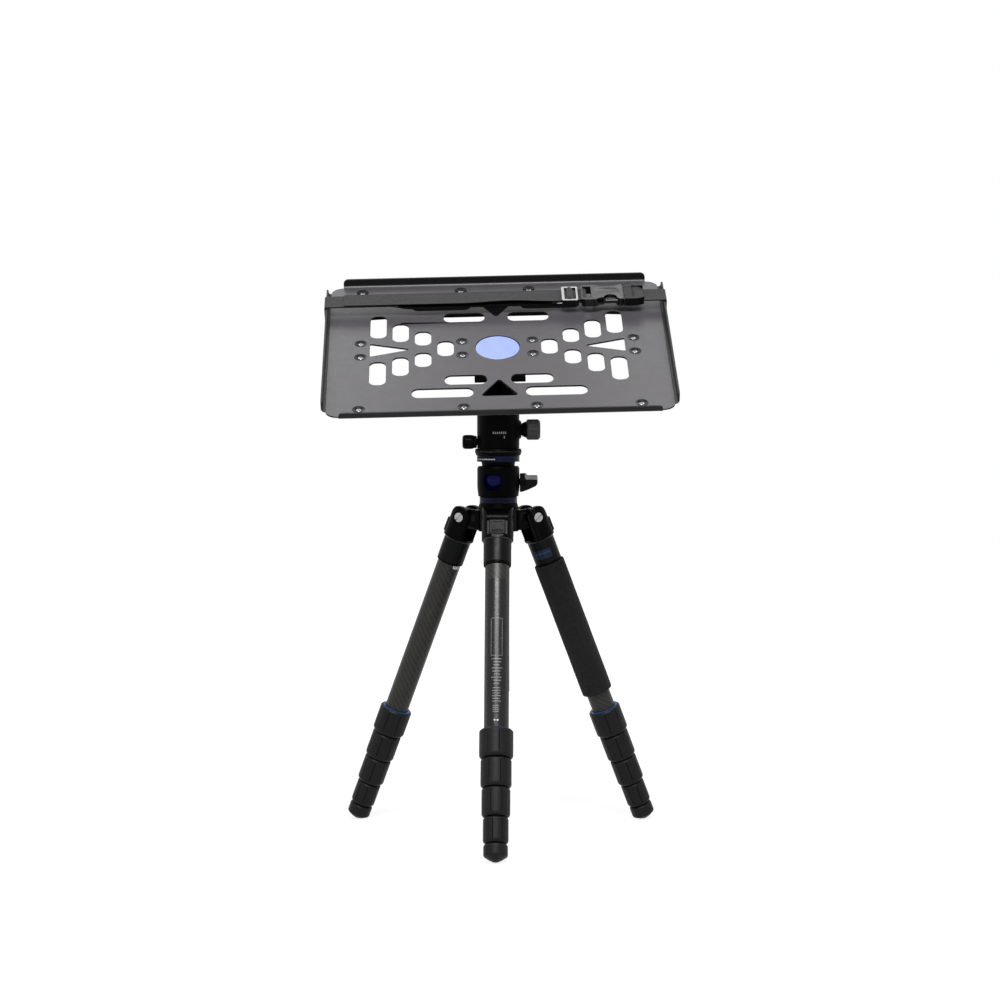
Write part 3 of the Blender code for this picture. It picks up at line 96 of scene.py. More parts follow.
ring_low, ring_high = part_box("level_ring")
COLUMN = Matrix.Translation(((ring_low.x + ring_high.x) / 2, (ring_low.y + ring_high.y) / 2, 0))
LEGS = {}
for side, azimuth in LEG_AZIMUTHS.items():
    pivot = translation(PIVOT_RADIUS * math.cos(azimuth), PIVOT_RADIUS * math.sin(azimuth), PIVOT_HEIGHT)
    LEGS[side] = COLUMN @ pivot @ Euler((-LEG_SPLAY, 0, azimuth + math.pi / 2)).to_matrix().to_4x4()
PAN = COLUMN @ translation(0, 0, HOUSING_FOOT) @ Matrix.Rotation(HEAD_PAN, 4, "Z")
PITCH = PAN @ translation(0, 0, BALL_RISE) @ Matrix.Rotation(TRAY_TILT, 4, "X")
ROLL = PITCH @ Matrix.Rotation(TRAY_ROLL, 4, "Y")
TRAY = ROLL @ translation(0, 0, TRAY_HEIGHT)
LAID_X = Matrix.Rotation(math.pi / 2, 4, "Y")
LAID_MINUS_X = Matrix.Rotation(-math.pi / 2, 4, "Y")
DRAWN_IN_YZ = Matrix(((0, 0, 1, 0), (1, 0, 0, 0), (0, 1, 0, 0), (0, 0, 0, 1)))
DRAWN_IN_XZ = Matrix(((1, 0, 0, 0), (0, 0, -1, 0), (0, 1, 0, 0), (0, 0, 0, 1)))


# Outlines

def arc(centre, radius, start, end, steps):
    angles = [start + (end - start) * i / steps for i in range(steps + 1)]
    return [(centre[0] + radius * math.cos(a), centre[1] + radius * math.sin(a)) for a in angles]


def eased(points, radius, steps=4, closed=False):
    """The same line with each corner rounded."""
    made = []
    count = len(points)
    for i, here in enumerate(points):
        if not closed and i in (0, count - 1):
            made.append(here)
            continue
        before, after = Vector(points[i - 1]), Vector(points[(i + 1) % count])
        corner = Vector(here)
        back, ahead = before - corner, after - corner
        if min(back.length, ahead.length) < TINY:
            made.append(here)
            continue
        reach = min(radius, 0.45 * back.length, 0.45 * ahead.length)
        start = corner + back.normalized() * reach
        end = corner + ahead.normalized() * reach
        for step in range(steps + 1):
            t = step / steps
            made.append(tuple(start * (1 - t) ** 2 + corner * 2 * t * (1 - t) + end * t * t))
    return made


def rounded_box(centre, width, height, radius, steps=8):
    points = []
    for index, (sx, sy) in enumerate(((1, 1), (-1, 1), (-1, -1), (1, -1))):
        corner = (centre[0] + sx * (width / 2 - radius), centre[1] + sy * (height / 2 - radius))
        points += arc(corner, radius, index * math.pi / 2, (index + 1) * math.pi / 2, steps)
    return points


def rounded_triangle(corners, radius, steps=6):
    points = []
    for i, corner in enumerate(corners):
        here = Vector(corner)
        back = (Vector(corners[i - 1]) - here).normalized()
        ahead = (Vector(corners[(i + 1) % 3]) - here).normalized()
        half = math.acos(max(-1.0, min(1.0, back.dot(ahead)))) / 2
        centre = here + (back + ahead).normalized() * radius / math.sin(half)
        touch = here + back * radius / math.tan(half) - centre
        first = math.atan2(touch.y, touch.x)
        points += arc(centre, radius, first, first + math.pi - 2 * half, steps)
    return points


# Meshes

def shown(name, data):
    obj = bpy.data.objects.new(name, data)
    bpy.context.scene.collection.objects.link(obj)
    return obj


def finished(mesh):
    """Faces out, smooth but for its true edges."""
    shell = bmesh.new()
    shell.from_mesh(mesh)
    bmesh.ops.remove_doubles(shell, verts=shell.verts, dist=2e-6)
    bmesh.ops.recalc_face_normals(shell, faces=shell.faces)
    for face in shell.faces:
        face.smooth = True
    shell.to_mesh(mesh)
    shell.free()
    mesh.set_sharp_from_angle(angle=SHARP)
    return mesh


def sheet_of(verts, faces):
    mesh = bpy.data.meshes.new("mesh")
    mesh.from_pydata([[value * MM for value in vert] for vert in verts], [], faces)
    return mesh


def mesh_of(verts, faces):
    return finished(sheet_of(verts, faces))


def lathe(profile, steps=96, closed=False, shape=None, start=0.0, end=TURN):
    """A line of (radius, height) points turned about Z. shape may change a radius by height and angle."""
    whole = end - start > TURN - 1e-6
    columns = steps if whole else steps + 1
    verts = []
    rings = []
    for radius, height in profile:
        if radius < TINY:
            rings.append([len(verts)] * columns)
            verts.append((0, 0, height))
            continue
        ring = []
        for i in range(columns):
            angle = start + (end - start) * i / steps
            reach = shape(radius, height, angle) if shape else radius
            ring.append(len(verts))
            verts.append((reach * math.cos(angle), reach * math.sin(angle), height))
        rings.append(ring)
    pairs = list(zip(rings, rings[1:]))
    if closed:
        pairs.append((rings[-1], rings[0]))
    faces = []
    for upper, lower in pairs:
        for i in range(steps):
            j = (i + 1) % columns
            face = tuple(dict.fromkeys((upper[i], lower[i], lower[j], upper[j])))
            if len(face) > 2:
                faces.append(face)
    return mesh_of(verts, faces)


def turned(points, ease, ease_steps=4, steps=96, shape=None):
    """A line from axis to axis, its corners rounded, turned into a solid."""
    return lathe(eased(points, ease, ease_steps), steps, False, shape)


def hoop(points, ease, ease_steps=3, steps=96, shape=None):
    """A closed line, its corners rounded, turned into a ring."""
    return lathe(eased(points, ease, ease_steps, True), steps, True, shape)


def evaluated(holder):
    """The holder's mesh with its modifiers applied. The holder goes."""
    graph = bpy.context.evaluated_depsgraph_get()
    mesh = bpy.data.meshes.new_from_object(holder.evaluated_get(graph))
    bpy.data.objects.remove(holder, do_unlink=True)
    mesh.materials.clear()
    return mesh


def filled(outlines, thickness=0.0):
    """An outline with any holes, flat, or thick about its own plane."""
    curve = bpy.data.curves.new("outline", "CURVE")
    curve.dimensions = "2D"
    curve.fill_mode = "BOTH"
    curve.extrude = thickness * MM / 2
    for outline in outlines:
        spline = curve.splines.new("POLY")
        spline.points.add(len(outline) - 1)
        for point, (x, y) in zip(spline.points, outline):
            point.co = (x * MM, y * MM, 0, 1)
        spline.use_cyclic_u = True
    mesh = evaluated(shown("outline", curve))
    bpy.data.curves.remove(curve)
    return mesh


def slab(outlines, thickness, matrix=Matrix()):
    return finished(moved(filled(outlines, thickness), matrix))


def thickened(sheet, thickness, offset):
    holder = shown("sheet", sheet)
    solid = holder.modifiers.new("solid", "SOLIDIFY")
    solid.thickness = thickness * MM
    solid.offset = offset
    solid.use_even_offset = True
    return finished(evaluated(holder))


def block(low, high):
    size = (Vector(high) - Vector(low)) * MM
    middle = (Vector(low) + Vector(high)) * MM / 2
    cube = bmesh.new()
    bmesh.ops.create_cube(cube, size=1.0)
    bmesh.ops.scale(cube, vec=size, verts=cube.verts)
    bmesh.ops.translate(cube, vec=middle, verts=cube.verts)
    mesh = bpy.data.meshes.new("block")
    cube.to_mesh(mesh)
    cube.free()
    return mesh


def moved(mesh, matrix):
    mesh.transform(matrix)
    return mesh


def copied(mesh, matrix):
    return moved(mesh.copy(), matrix)


def carved(base, *changes):
    """The base less each mesh in turn, or changed by each (operation, mesh)."""
    result = shown("base", base)
    holders = []
    for change in changes:
        modifier = result.modifiers.new("change", "BOOLEAN")
        modifier.operation, mesh = change if isinstance(change, tuple) else ("DIFFERENCE", change)
        modifier.object = shown("change", mesh)
        holders.append(modifier.object)
    bpy.context.view_layer.update()
    made = evaluated(result)
    for holder in holders:
        bpy.data.objects.remove(holder, do_unlink=True)
    return finished(made)


def joined(meshes):
    shell = bmesh.new()
    for mesh in meshes:
        shell.from_mesh(mesh)
    made = bpy.data.meshes.new("joined")
    shell.to_mesh(made)
    shell.free()
    made.set_sharp_from_angle(angle=SHARP)
    return made


def piece(name, mesh, look, node, matrix=COLUMN, whole=False, bevel=0.0, segments=3, more=()):
    """One dressed piece on the body of a CAD node. A whole one takes that node's place."""
    place = mesh.attributes.new("place", "FLOAT_VECTOR", "POINT")
    place.data.foreach_set("vector", [value for vertex in mesh.vertices for value in vertex.co])
    mesh.transform(matrix)
    obj = shown(name, mesh)
    kinds = [face.material_index if more else 0 for face in mesh.polygons]
    mesh.materials.clear()
    for each in (look, *more):
        mesh.materials.append(each)
    mesh.polygons.foreach_set("material_index", kinds)
    if bevel:
        edge = obj.modifiers.new("edges", "BEVEL")
        edge.limit_method = "ANGLE"
        edge.angle_limit = 36 * DEG
        edge.width = bevel * MM
        edge.segments = segments
        edge.use_clamp_overlap = True
    weighted = obj.modifiers.new("normals", "WEIGHTED_NORMAL")
    weighted.keep_sharp = True
    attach(obj, BODY_OF[node])
    if whole:
        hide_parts(node)
    return obj


# Materials

def add_node(tree, kind, output=0, inputs=(), **settings):
    """A shader node with its inputs, each a value or a link, by name or by place. Returns one output."""
    node = tree.nodes.new("ShaderNode" + kind)
    for name, value in settings.items():
        setattr(node, name, value)
    for name, value in inputs.items() if isinstance(inputs, dict) else enumerate(inputs):
        if isinstance(value, bpy.types.NodeSocket):
            tree.links.new(value, node.inputs[name])
        else:
            node.inputs[name].default_value = value
    return node.outputs[output]


class Look:
    """A material under construction: short names for its nodes and links."""

    def __init__(self, name, **values):
        self.material = bpy.data.materials.new(name)
        self.material.use_nodes = True
        self.tree = self.material.node_tree
        self.shader = self.tree.nodes["Principled BSDF"]
        for key, value in values.items():
            title = key.replace("_", " ").title().replace("Ior", "IOR")
            self.shader.inputs[title].default_value = value
        self.place = self.node("Attribute", "Vector", attribute_name="place")

    def node(self, kind, output=0, inputs=(), **settings):
        return add_node(self.tree, kind, output, inputs, **settings)

    def link(self, source, title):
        self.tree.links.new(source, self.shader.inputs[title])

    def math(self, operation, *values):
        return self.node("Math", 0, values, operation=operation)

    def noise(self, scale, detail=3.0):
        inputs = {"Vector": self.place, "Scale": scale, "Detail": detail, "Roughness": 0.55}
        return self.node("TexNoise", "Fac", inputs)

    def axes(self):
        return self.node("SeparateXYZ", 0, [self.place]).node.outputs

    def tint(self, factor, dark, light, low=0.3, high=0.7):
        """A colour between two, by a factor that runs from low to high."""
        colour = self.node("ValToRGB", "Color", {"Fac": factor})
        for end, spot, tone in zip(colour.node.color_ramp.elements, (low, high), (dark, light)):
            end.position = spot
            end.color = (*tone, 1.0)
        return colour

    def rough(self, factor, low, high):
        span = {"Value": factor, "From Min": 0.3, "From Max": 0.7, "To Min": low, "To Max": high}
        self.link(self.node("MapRange", 0, span), "Roughness")

    def bump(self, height, strength, distance):
        inputs = {"Height": height, "Strength": strength, "Distance": distance}
        self.link(self.node("Bump", "Normal", inputs), "Normal")

    def edge_highlighted(self, colours, edge_highlight):
        """The colours, painted lighter on sharp edges: a painted highlight where the bevels would catch the
        light.
        """
        point = self.node("NewGeometry", "Pointiness")
        edges = self.node("MapRange", 0, {"Value": point, "From Min": 0.53, "From Max": 0.62})
        return self.node("Mix", 2, {"Factor": edges, 6: colours, 7: (*edge_highlight, 1.0)}, data_type="RGBA")


def shade(colour, factor):
    return tuple(min(1.0, c * factor) for c in colour)


def coated(name, colour, rough, bump, spread, specular, grain=2500, metallic=0.0, edge_highlight=None):
    """A painted, cast, moulded or anodised surface: cloudy colour, fine grain and a varied gloss, with an
    optional painted highlight on sharp edges.
    """
    look = Look(name, metallic=metallic, specular_ior_level=specular)
    colours = look.tint(look.noise(60, 4), shade(colour, 1 - spread), shade(colour, 1 + spread))
    look.link(look.edge_highlighted(colours, edge_highlight) if edge_highlight else colours, "Base Color")
    look.rough(look.noise(180), rough - 0.05, rough + 0.05)
    look.bump(look.noise(grain, 2), bump, 0.0002)
    return look.material


def carbon_look(name, dark, light):
    """Twill carbon cloth under a satin lacquer, wound round the tube's own Z."""
    look = Look(name, specular_ior_level=0.3)
    x, y, z = look.axes()
    around = look.math("MULTIPLY", look.math("ARCTAN2", y, x), 48 / TURN)
    along = look.math("MULTIPLY", z, 48 / (TURN * 14 * MM))
    step = look.math("ADD", look.math("FLOOR", around), look.math("FLOOR", along))
    twill = look.math("LESS_THAN", look.math("FLOORED_MODULO", step, 4), 2)
    ridge = look.math("ABSOLUTE", look.math("SINE", look.math("MULTIPLY", around, math.pi)))
    cloud = look.noise(90, 4)
    tone = look.math("ADD", look.math("MULTIPLY", twill, 0.45), look.math("MULTIPLY", cloud, 0.55))
    look.link(look.tint(tone, dark, light, 0.2, 0.85), "Base Color")
    look.rough(look.noise(400, 2), 0.36, 0.46)
    height = look.math("ADD", look.math("MULTIPLY", twill, 0.6), look.math("MULTIPLY", ridge, 0.4))
    look.bump(height, 0.12, 0.0001)
    return look.material


def webbing_look(name, colour):
    """Woven strap: fine ribs along and across."""
    look = Look(name, specular_ior_level=0.3, sheen_weight=0.05, sheen_roughness=0.5)
    x, y, z = look.axes()
    across = look.math("SINE", look.math("MULTIPLY", look.math("ADD", x, z), TURN / (1.3 * MM)))
    along = look.math("SINE", look.math("MULTIPLY", y, TURN / (1.0 * MM)))
    crossing = look.math("MULTIPLY", look.math("MULTIPLY", along, across), 0.5)
    weave = look.math("ADD", look.math("MULTIPLY", across, 0.5), crossing)
    level = look.math("ADD", look.math("MULTIPLY", weave, 0.35), look.noise(300))
    look.link(look.tint(level, shade(colour, 0.6), shade(colour, 1.35), 0.15, 0.85), "Base Color")
    look.rough(look.noise(500, 2), 0.6, 0.8)
    look.bump(weave, 0.5, 0.00025)
    return look.material


def foam_look(name, colour):
    """Closed cell foam: matt, with small pits."""
    look = Look(name, specular_ior_level=0.12, sheen_weight=0.05)
    look.link(look.tint(look.noise(220, 4), shade(colour, 0.8), shade(colour, 1.25)), "Base Color")
    look.rough(look.noise(600, 2), 0.85, 0.95)
    look.bump(look.node("TexVoronoi", "Distance", {"Vector": look.place, "Scale": 1400}), 0.35, 0.0004)
    return look.material


def steel_look(name, colour, rough):
    """Turned bright metal with fine marks."""
    look = Look(name, metallic=1.0)
    marks = look.noise(2500, 2)
    look.link(look.tint(look.noise(200), shade(colour, 0.85), shade(colour, 1.1)), "Base Color")
    look.rough(marks, rough - 0.06, rough + 0.08)
    look.bump(marks, 0.1, 0.00005)
    return look.material


# The cast and satin blacks are painted lighter on their sharp edges: a painted highlight for the light the
# bevels catch.
CAST = coated(
    "cast_black", (0.0008, 0.0008, 0.0009), 0.24, 0.25, 0.25, 0.035, 1800, edge_highlight=(0.013, 0.013, 0.013)
)
SATIN = coated("satin_black", (0.0009, 0.0009, 0.001), 0.42, 0.1, 0.2, 0.025, edge_highlight=(0.003, 0.003, 0.0035))
# The yoke rim is painted much lighter than the black casting: a painted highlight for the light band the rim
# catches.
RIM_HIGHLIGHT = coated("rim_painted_highlight", (0.010, 0.010, 0.010), 0.3, 0.1, 0.2, 0.3)
SLEEVE = coated("sleeve_black", (0.0018, 0.002, 0.002), 0.36, 0.08, 0.2, 0.09)
BLUE = coated("anodised_blue", (0.0022, 0.0042, 0.022), 0.3, 0.05, 0.15, 0.1)
BALL_BLUE = coated("ball_blue", (0.0006, 0.0014, 0.06), 0.16, 0.05, 0.15, 0.08)
SKY = coated("blue_trim", (0.012, 0.05, 0.15), 0.35, 0.05, 0.1, 0.2, metallic=0.2)
DISC = coated("disc_blue", (0.20, 0.255, 0.50), 0.32, 0.05, 0.06, 0.35)
TRAY_PAINT = coated("tray_grey", (0.050, 0.0475, 0.052), 0.34, 0.12, 0.05, 0.29, 2200)
# A darker copy of the tray paint for the folded flanges and lips: painted shade.
TRAY_SIDE_SHADE = coated("tray_side_painted_shade", (0.008, 0.008, 0.0085), 0.42, 0.2, 0.1, 0.18, 2200)
# A darker copy of the tray paint for the pressed dimples: painted shade in their hollows.
DIMPLE_SHADE = coated("tray_dimple", (0.006, 0.006, 0.0065), 0.3, 0.2, 0.1, 0.15, 2200)
# A light grey for the lever wing's upper front slope: a painted highlight.
LEVER_TOP_HIGHLIGHT = coated("lever_top_painted_highlight", (0.17, 0.17, 0.17), 0.35, 0.1, 0.15, 0.5, 1600)
# A light grey on the black nylon slider's top and the buckle's prong edge: a painted highlight.
SLIDER_HIGHLIGHT = coated("slider_painted_highlight", (0.27, 0.27, 0.275), 0.25, 0.08, 0.12, 0.5)
# Near-black for the inner walls of the tray's slots and cut-outs: painted shade inside the holes.
TRAY_WALL_SHADE = coated("tray_wall_painted_shade", (0.003, 0.003, 0.003), 0.5, 0.2, 0.1, 0.05, 2200)
LOCK_RUBBER = coated("lock_rubber", (0.0065, 0.0065, 0.0068), 0.44, 0.3, 0.12, 0.12, 1600)
KNOB_RUBBER = coated("knob_rubber", (0.024, 0.024, 0.024), 0.5, 0.3, 0.15, 0.25, 1600)
KNOB_BLACK = coated("knob_black", (0.001, 0.001, 0.0012), 0.3, 0.2, 0.15, 0.035, 1600)
LEVER_BLACK = coated("lever_black", (0.0015, 0.0015, 0.0018), 0.32, 0.1, 0.15, 0.08, 1600)
NYLON = coated("nylon", (0.004, 0.004, 0.0043), 0.2, 0.08, 0.12, 0.12)
# A lighter copy of the nylon for the buckle's upward faces: painted light on top, with the black nylon as
# painted shade on its sides.
BUCKLE_TOP_LIT = coated("buckle_top_painted_light", (0.011, 0.011, 0.0115), 0.22, 0.08, 0.12, 0.45)
INK = coated("pale_ink", (0.5, 0.51, 0.52), 0.5, 0.05, 0.08, 0.4)
DIM_INK = coated("dim_ink", (0.2, 0.2, 0.2), 0.5, 0.05, 0.1, 0.4)
LABEL_BLACK = coated("label_black", (0.006, 0.006, 0.006), 0.27, 0.04, 0.1, 0.25)
PATCH_BLUE = coated("patch_blue", (0.003, 0.007, 0.018), 0.3, 0.05, 0.15, 0.2)
CARBON = carbon_look("carbon_tube", (0.0048, 0.0046, 0.004), (0.0175, 0.0165, 0.014))
WEBBING = webbing_look("webbing", (0.0095, 0.009, 0.010))
# A near-black copy of the webbing for the strap's underside, side edges and drooping front: painted shade.
WEBBING_SHADE = coated("webbing_painted_shade", (0.0016, 0.0016, 0.0018), 0.7, 0.3, 0.2, 0.03, 1800)
FOAM = foam_look("foam", (0.0085, 0.0085, 0.0085))
STEEL = steel_look("steel", (0.36, 0.36, 0.36), 0.2)
DARK_STEEL = steel_look("dark_steel", (0.012, 0.012, 0.013), 0.3)
SCREW_STEEL = steel_look("screw_steel", (0.3, 0.3, 0.31), 0.22)


# Legs: local X along the bolt, -Y outwards and -Z down the leg

def yoke_mesh():
    half = 17.0
    head = 13.5
    lean = math.atan2(half - head, 23.8)
    outline = arc((0, 0), head, -lean, math.pi + lean, 40)
    outline += [(-half, -23.8), (-half, -27), (half, -27), (half, -23.8)]
    body = slab([outline], 36.4, DRAWN_IN_YZ)
    barrel = lathe([(0, 18.5), (18.3, 18.5), (18.3, -25.9), (17.2, -27.2), (0, -27.2)])
    gap = block((-11.9, -34, -23.8), (11.9, 34, 27))
    seat = [(0, 20), (6.4, 20), (6.4, 14.1), (4.2, 14.1)]
    seat += [(r, -z) for r, z in reversed(seat)]
    bore = moved(lathe(seat, 48), LAID_X)
    rim = [(0, -24.4), (17.0, -24.4), (17.0, -26.8), (16.2, -28), (0, -28)]
    rim = eased(rim, 0.6)
    return carved(body, ("INTERSECT", barrel), gap, bore, ("UNION", lathe(rim)))


def sleeve_mesh():
    """The sleeve below the yoke, with a rolled lower end."""
    outer, inner = 16.0, 14.15
    points = [(inner, -27.6), (outer, -27.6), (outer, -55.2), (inner, -55.2)]
    return hoop(points, 0.5, 3)


def seal_mesh():
    """The dark band that closes the sleeve on its tube."""
    outer, inner = 15.9, 14.15
    points = [
        (inner, -55.0), (outer - 0.4, -55.0), (outer, -55.9), (outer, -57.0), (outer - 0.9, -58), (inner, -58)
    ]
    return hoop(points, 0.4, 3)


def latch_mesh():
    """The pull tab: a shouldered block with a sunk pad and grip ridges between grooves."""
    wide, tab = 11.6, 9.3
    inner, shoulder, face = -11.3, -15.1, -17.9
    outline = [(wide, inner), (-wide, inner), (-wide, shoulder), (-tab, shoulder), (-tab, face + 0.6)]
    outline += [(-tab + 0.8, face), (tab - 0.8, face), (tab, face + 0.6), (tab, shoulder), (wide, shoulder)]
    body = slab([outline], 16.5)
    body.transform(translation(0, 0, -15.25))
    changes = []
    for index in range(3):
        z = -(19.2 + 1.5 * index)
        changes.append(block((-6.4, face - 1, z - 0.35), (6.4, face + 0.5, z + 0.35)))
    pad = block((-6.4, face - 1, -17.2), (6.4, face + 0.35, -9.2))
    changes.append(pad)
    return carved(body, *changes)


def bolt_cap_mesh():
    """A dished bolt head with a driver slot, its face at +Z."""
    face = 16.55
    points = [(0, face - 0.9), (2.6, face - 0.8), (4.6, face - 0.1), (5.5, face)]
    points += [(6.0, face - 0.4), (6.0, face - 2), (0, face - 2)]
    cap = turned(points, 0.3, 3, 64)
    slot = block((-0.9, -7, face - 1.7), (0.9, 7, face + 1))
    return carved(cap, slot)


def tube_mesh(index):
    outer = TUBE_RADII[index]
    inner = outer - TUBE_WALL
    points = [
        (inner, -TUBE_STARTS[index]), (outer, -TUBE_STARTS[index]), (outer, -TUBE_ENDS[index]),
        (inner, -TUBE_ENDS[index])
    ]
    return hoop(points, 0.25, 2, 72)


def lock_mesh(index):
    """A twist lock: eight broad panels between grooves, with chamfered ends."""
    outer = LOCK_RADII[index]
    upper = TUBE_RADII[index] + 0.3
    lower = TUBE_RADII[index + 1] + 0.3
    top = -LOCK_TOPS[index]
    bottom = top - LOCK_LENGTHS[index]
    step = -TUBE_ENDS[index] - 0.3
    panel_top = top - 3.2
    panel_end = bottom + 4.2
    points = [(upper, top), (outer - 1.7, top), (outer, top - 1.7), (outer, panel_top + 0.3)]
    points += [(outer, panel_top - 0.3), (outer, panel_end + 0.5), (outer, panel_end - 0.2)]
    points += [
        (outer - 0.25, bottom + 2.2), (outer - 1.9, bottom), (lower, bottom), (lower, step), (upper, step)
    ]
    points = eased(points, 0.5, 3, True)

    def panels(radius, height, angle):
        if radius < outer - 0.3 or not panel_end < height < panel_top:
            return radius
        phase = (angle * 8 / TURN) % 1.0
        groove = min(phase, 1 - phase) / 0.045
        if groove < 1:
            return radius - 0.8 * (1 - groove)
        return radius

    return lathe(points, 176, True, panels)


def foot_mesh():
    """The rubber foot: a flanged cup over a cone."""
    radius = 13.6
    inner = TUBE_RADII[4] + 0.3
    top = -(LOCK_TOPS[3] + LOCK_LENGTHS[3] + 1)
    floor = -TUBE_ENDS[4] - 0.3
    points = [(0, floor), (inner, floor), (inner, top), (radius - 1.8, top), (radius - 0.4, top - 1.2)]
    points += [(radius, top - 2.4), (radius, -LEG_LENGTH + 7.2), (radius - 0.7, -LEG_LENGTH + 6)]
    points += [(7.5, -LEG_LENGTH + 2.4), (FOOT_TIP_RADIUS, -LEG_LENGTH), (0, -LEG_LENGTH)]
    return turned(points, 0.9, 4)


def grip_mesh():
    """The foam sleeve, softly uneven, with rolled ends."""
    outer, inner = 18.35, 14.3
    top, bottom = -59, -229
    points = [(inner, top), (outer - 1.1, top)]
    points += arc((outer - 1.2, top - 1.2), 1.2, math.pi / 2, 0, 5)
    points += [(outer, top + (bottom - top) * i / 40) for i in range(1, 40)]
    points += arc((outer - 1.2, bottom + 1.2), 1.2, 0, -math.pi / 2, 5)
    points += [(inner, bottom)]

    def soft(radius, height, angle):
        if radius < outer - 1:
            return radius
        wave = math.sin(height * 0.095 + 2 * angle) + math.sin(height * 0.21 - 3 * angle + 1)
        return radius - 0.08 + 0.04 * wave

    return lathe(points, 72, True, soft)


def patch(radius, top, bottom, half_angle, centre=-math.pi / 2, thick=0.12, soft=0.6):
    """A thin curved label on a tube, with rounded corners, outwards at the centre angle."""
    rows, columns = 24, 28
    verts, faces = [], []
    width = half_angle * radius
    height = (top - bottom) / 2
    middle = (top + bottom) / 2
    for level in (thick, 0.0):
        for i in range(rows + 1):
            v = -1 + 2 * i / rows
            rise = height * v
            over = max(0.0, abs(rise) - (height - soft))
            trim = soft - math.sqrt(max(0.0, soft * soft - over * over))
            for j in range(columns + 1):
                u = -1 + 2 * j / columns
                angle = centre + (width - trim) * u / radius
                reach = radius + level
                verts.append((reach * math.cos(angle), reach * math.sin(angle), middle + rise))
    size = (rows + 1) * (columns + 1)

    def at(i, j, layer=0):
        return layer * size + i * (columns + 1) + j

    for layer in (0, 1):
        for i in range(rows):
            for j in range(columns):
                corners = ((i, j), (i, j + 1), (i + 1, j + 1), (i + 1, j))
                faces.append(tuple(at(*corner, layer) for corner in corners))
    rim = [(0, j) for j in range(columns)] + [(i, columns) for i in range(rows)]
    rim += [(rows, j) for j in range(columns, 0, -1)] + [(i, 0) for i in range(rows, 0, -1)]
    for here, ahead in zip(rim, rim[1:] + rim[:1]):
        faces.append((at(*here), at(*ahead), at(*ahead, 1), at(*here, 1)))
    return mesh_of(verts, faces)


def make_front_label(matrix):
    """A plain black label down the front tube, with generic ruled lines where the print was."""
    radius = TUBE_RADII[0]
    node = "front_upper_tube"
    piece("front_label", patch(radius, -76.5, -250.5, 46 * DEG), LABEL_BLACK, node, matrix)
    marks = []
    over = radius + 0.12

    def rule(top, bottom, half, centre=0.0):
        marks.append(patch(over, -top, -bottom, half, -math.pi / 2 + centre, 0.03, 0.05))

    rule(124, 124.4, 26 * DEG)
    rule(168, 168.4, 26 * DEG)
    for offset in (-26, 26):
        rule(124, 168.4, 0.8 * DEG, offset * DEG)
    for index in range(9):
        top = 172 + 3.6 * index
        rule(top, top + 0.7, (24 - 5 * (index % 3)) * DEG, (3 * (index % 2)) * DEG)
    for index in range(6):
        top = 206 + 3.1 * index
        rule(top, top + 0.6, (17 + 3 * (index % 2)) * DEG)
    for index in range(4):
        rule(226.5 + 2.4 * index, 227.1 + 2.4 * index, 14 * DEG, -2 * DEG)
    piece("front_label_rules", joined(marks), DIM_INK, node, matrix)
    dots = [
        patch(over, -242.6, -244.6, 4.2 * DEG, -math.pi / 2 + turn * DEG, 0.03, 0.9) for turn in (-6.5, 6.5)
    ]
    piece("front_label_dots", joined(dots), INK, node, matrix)


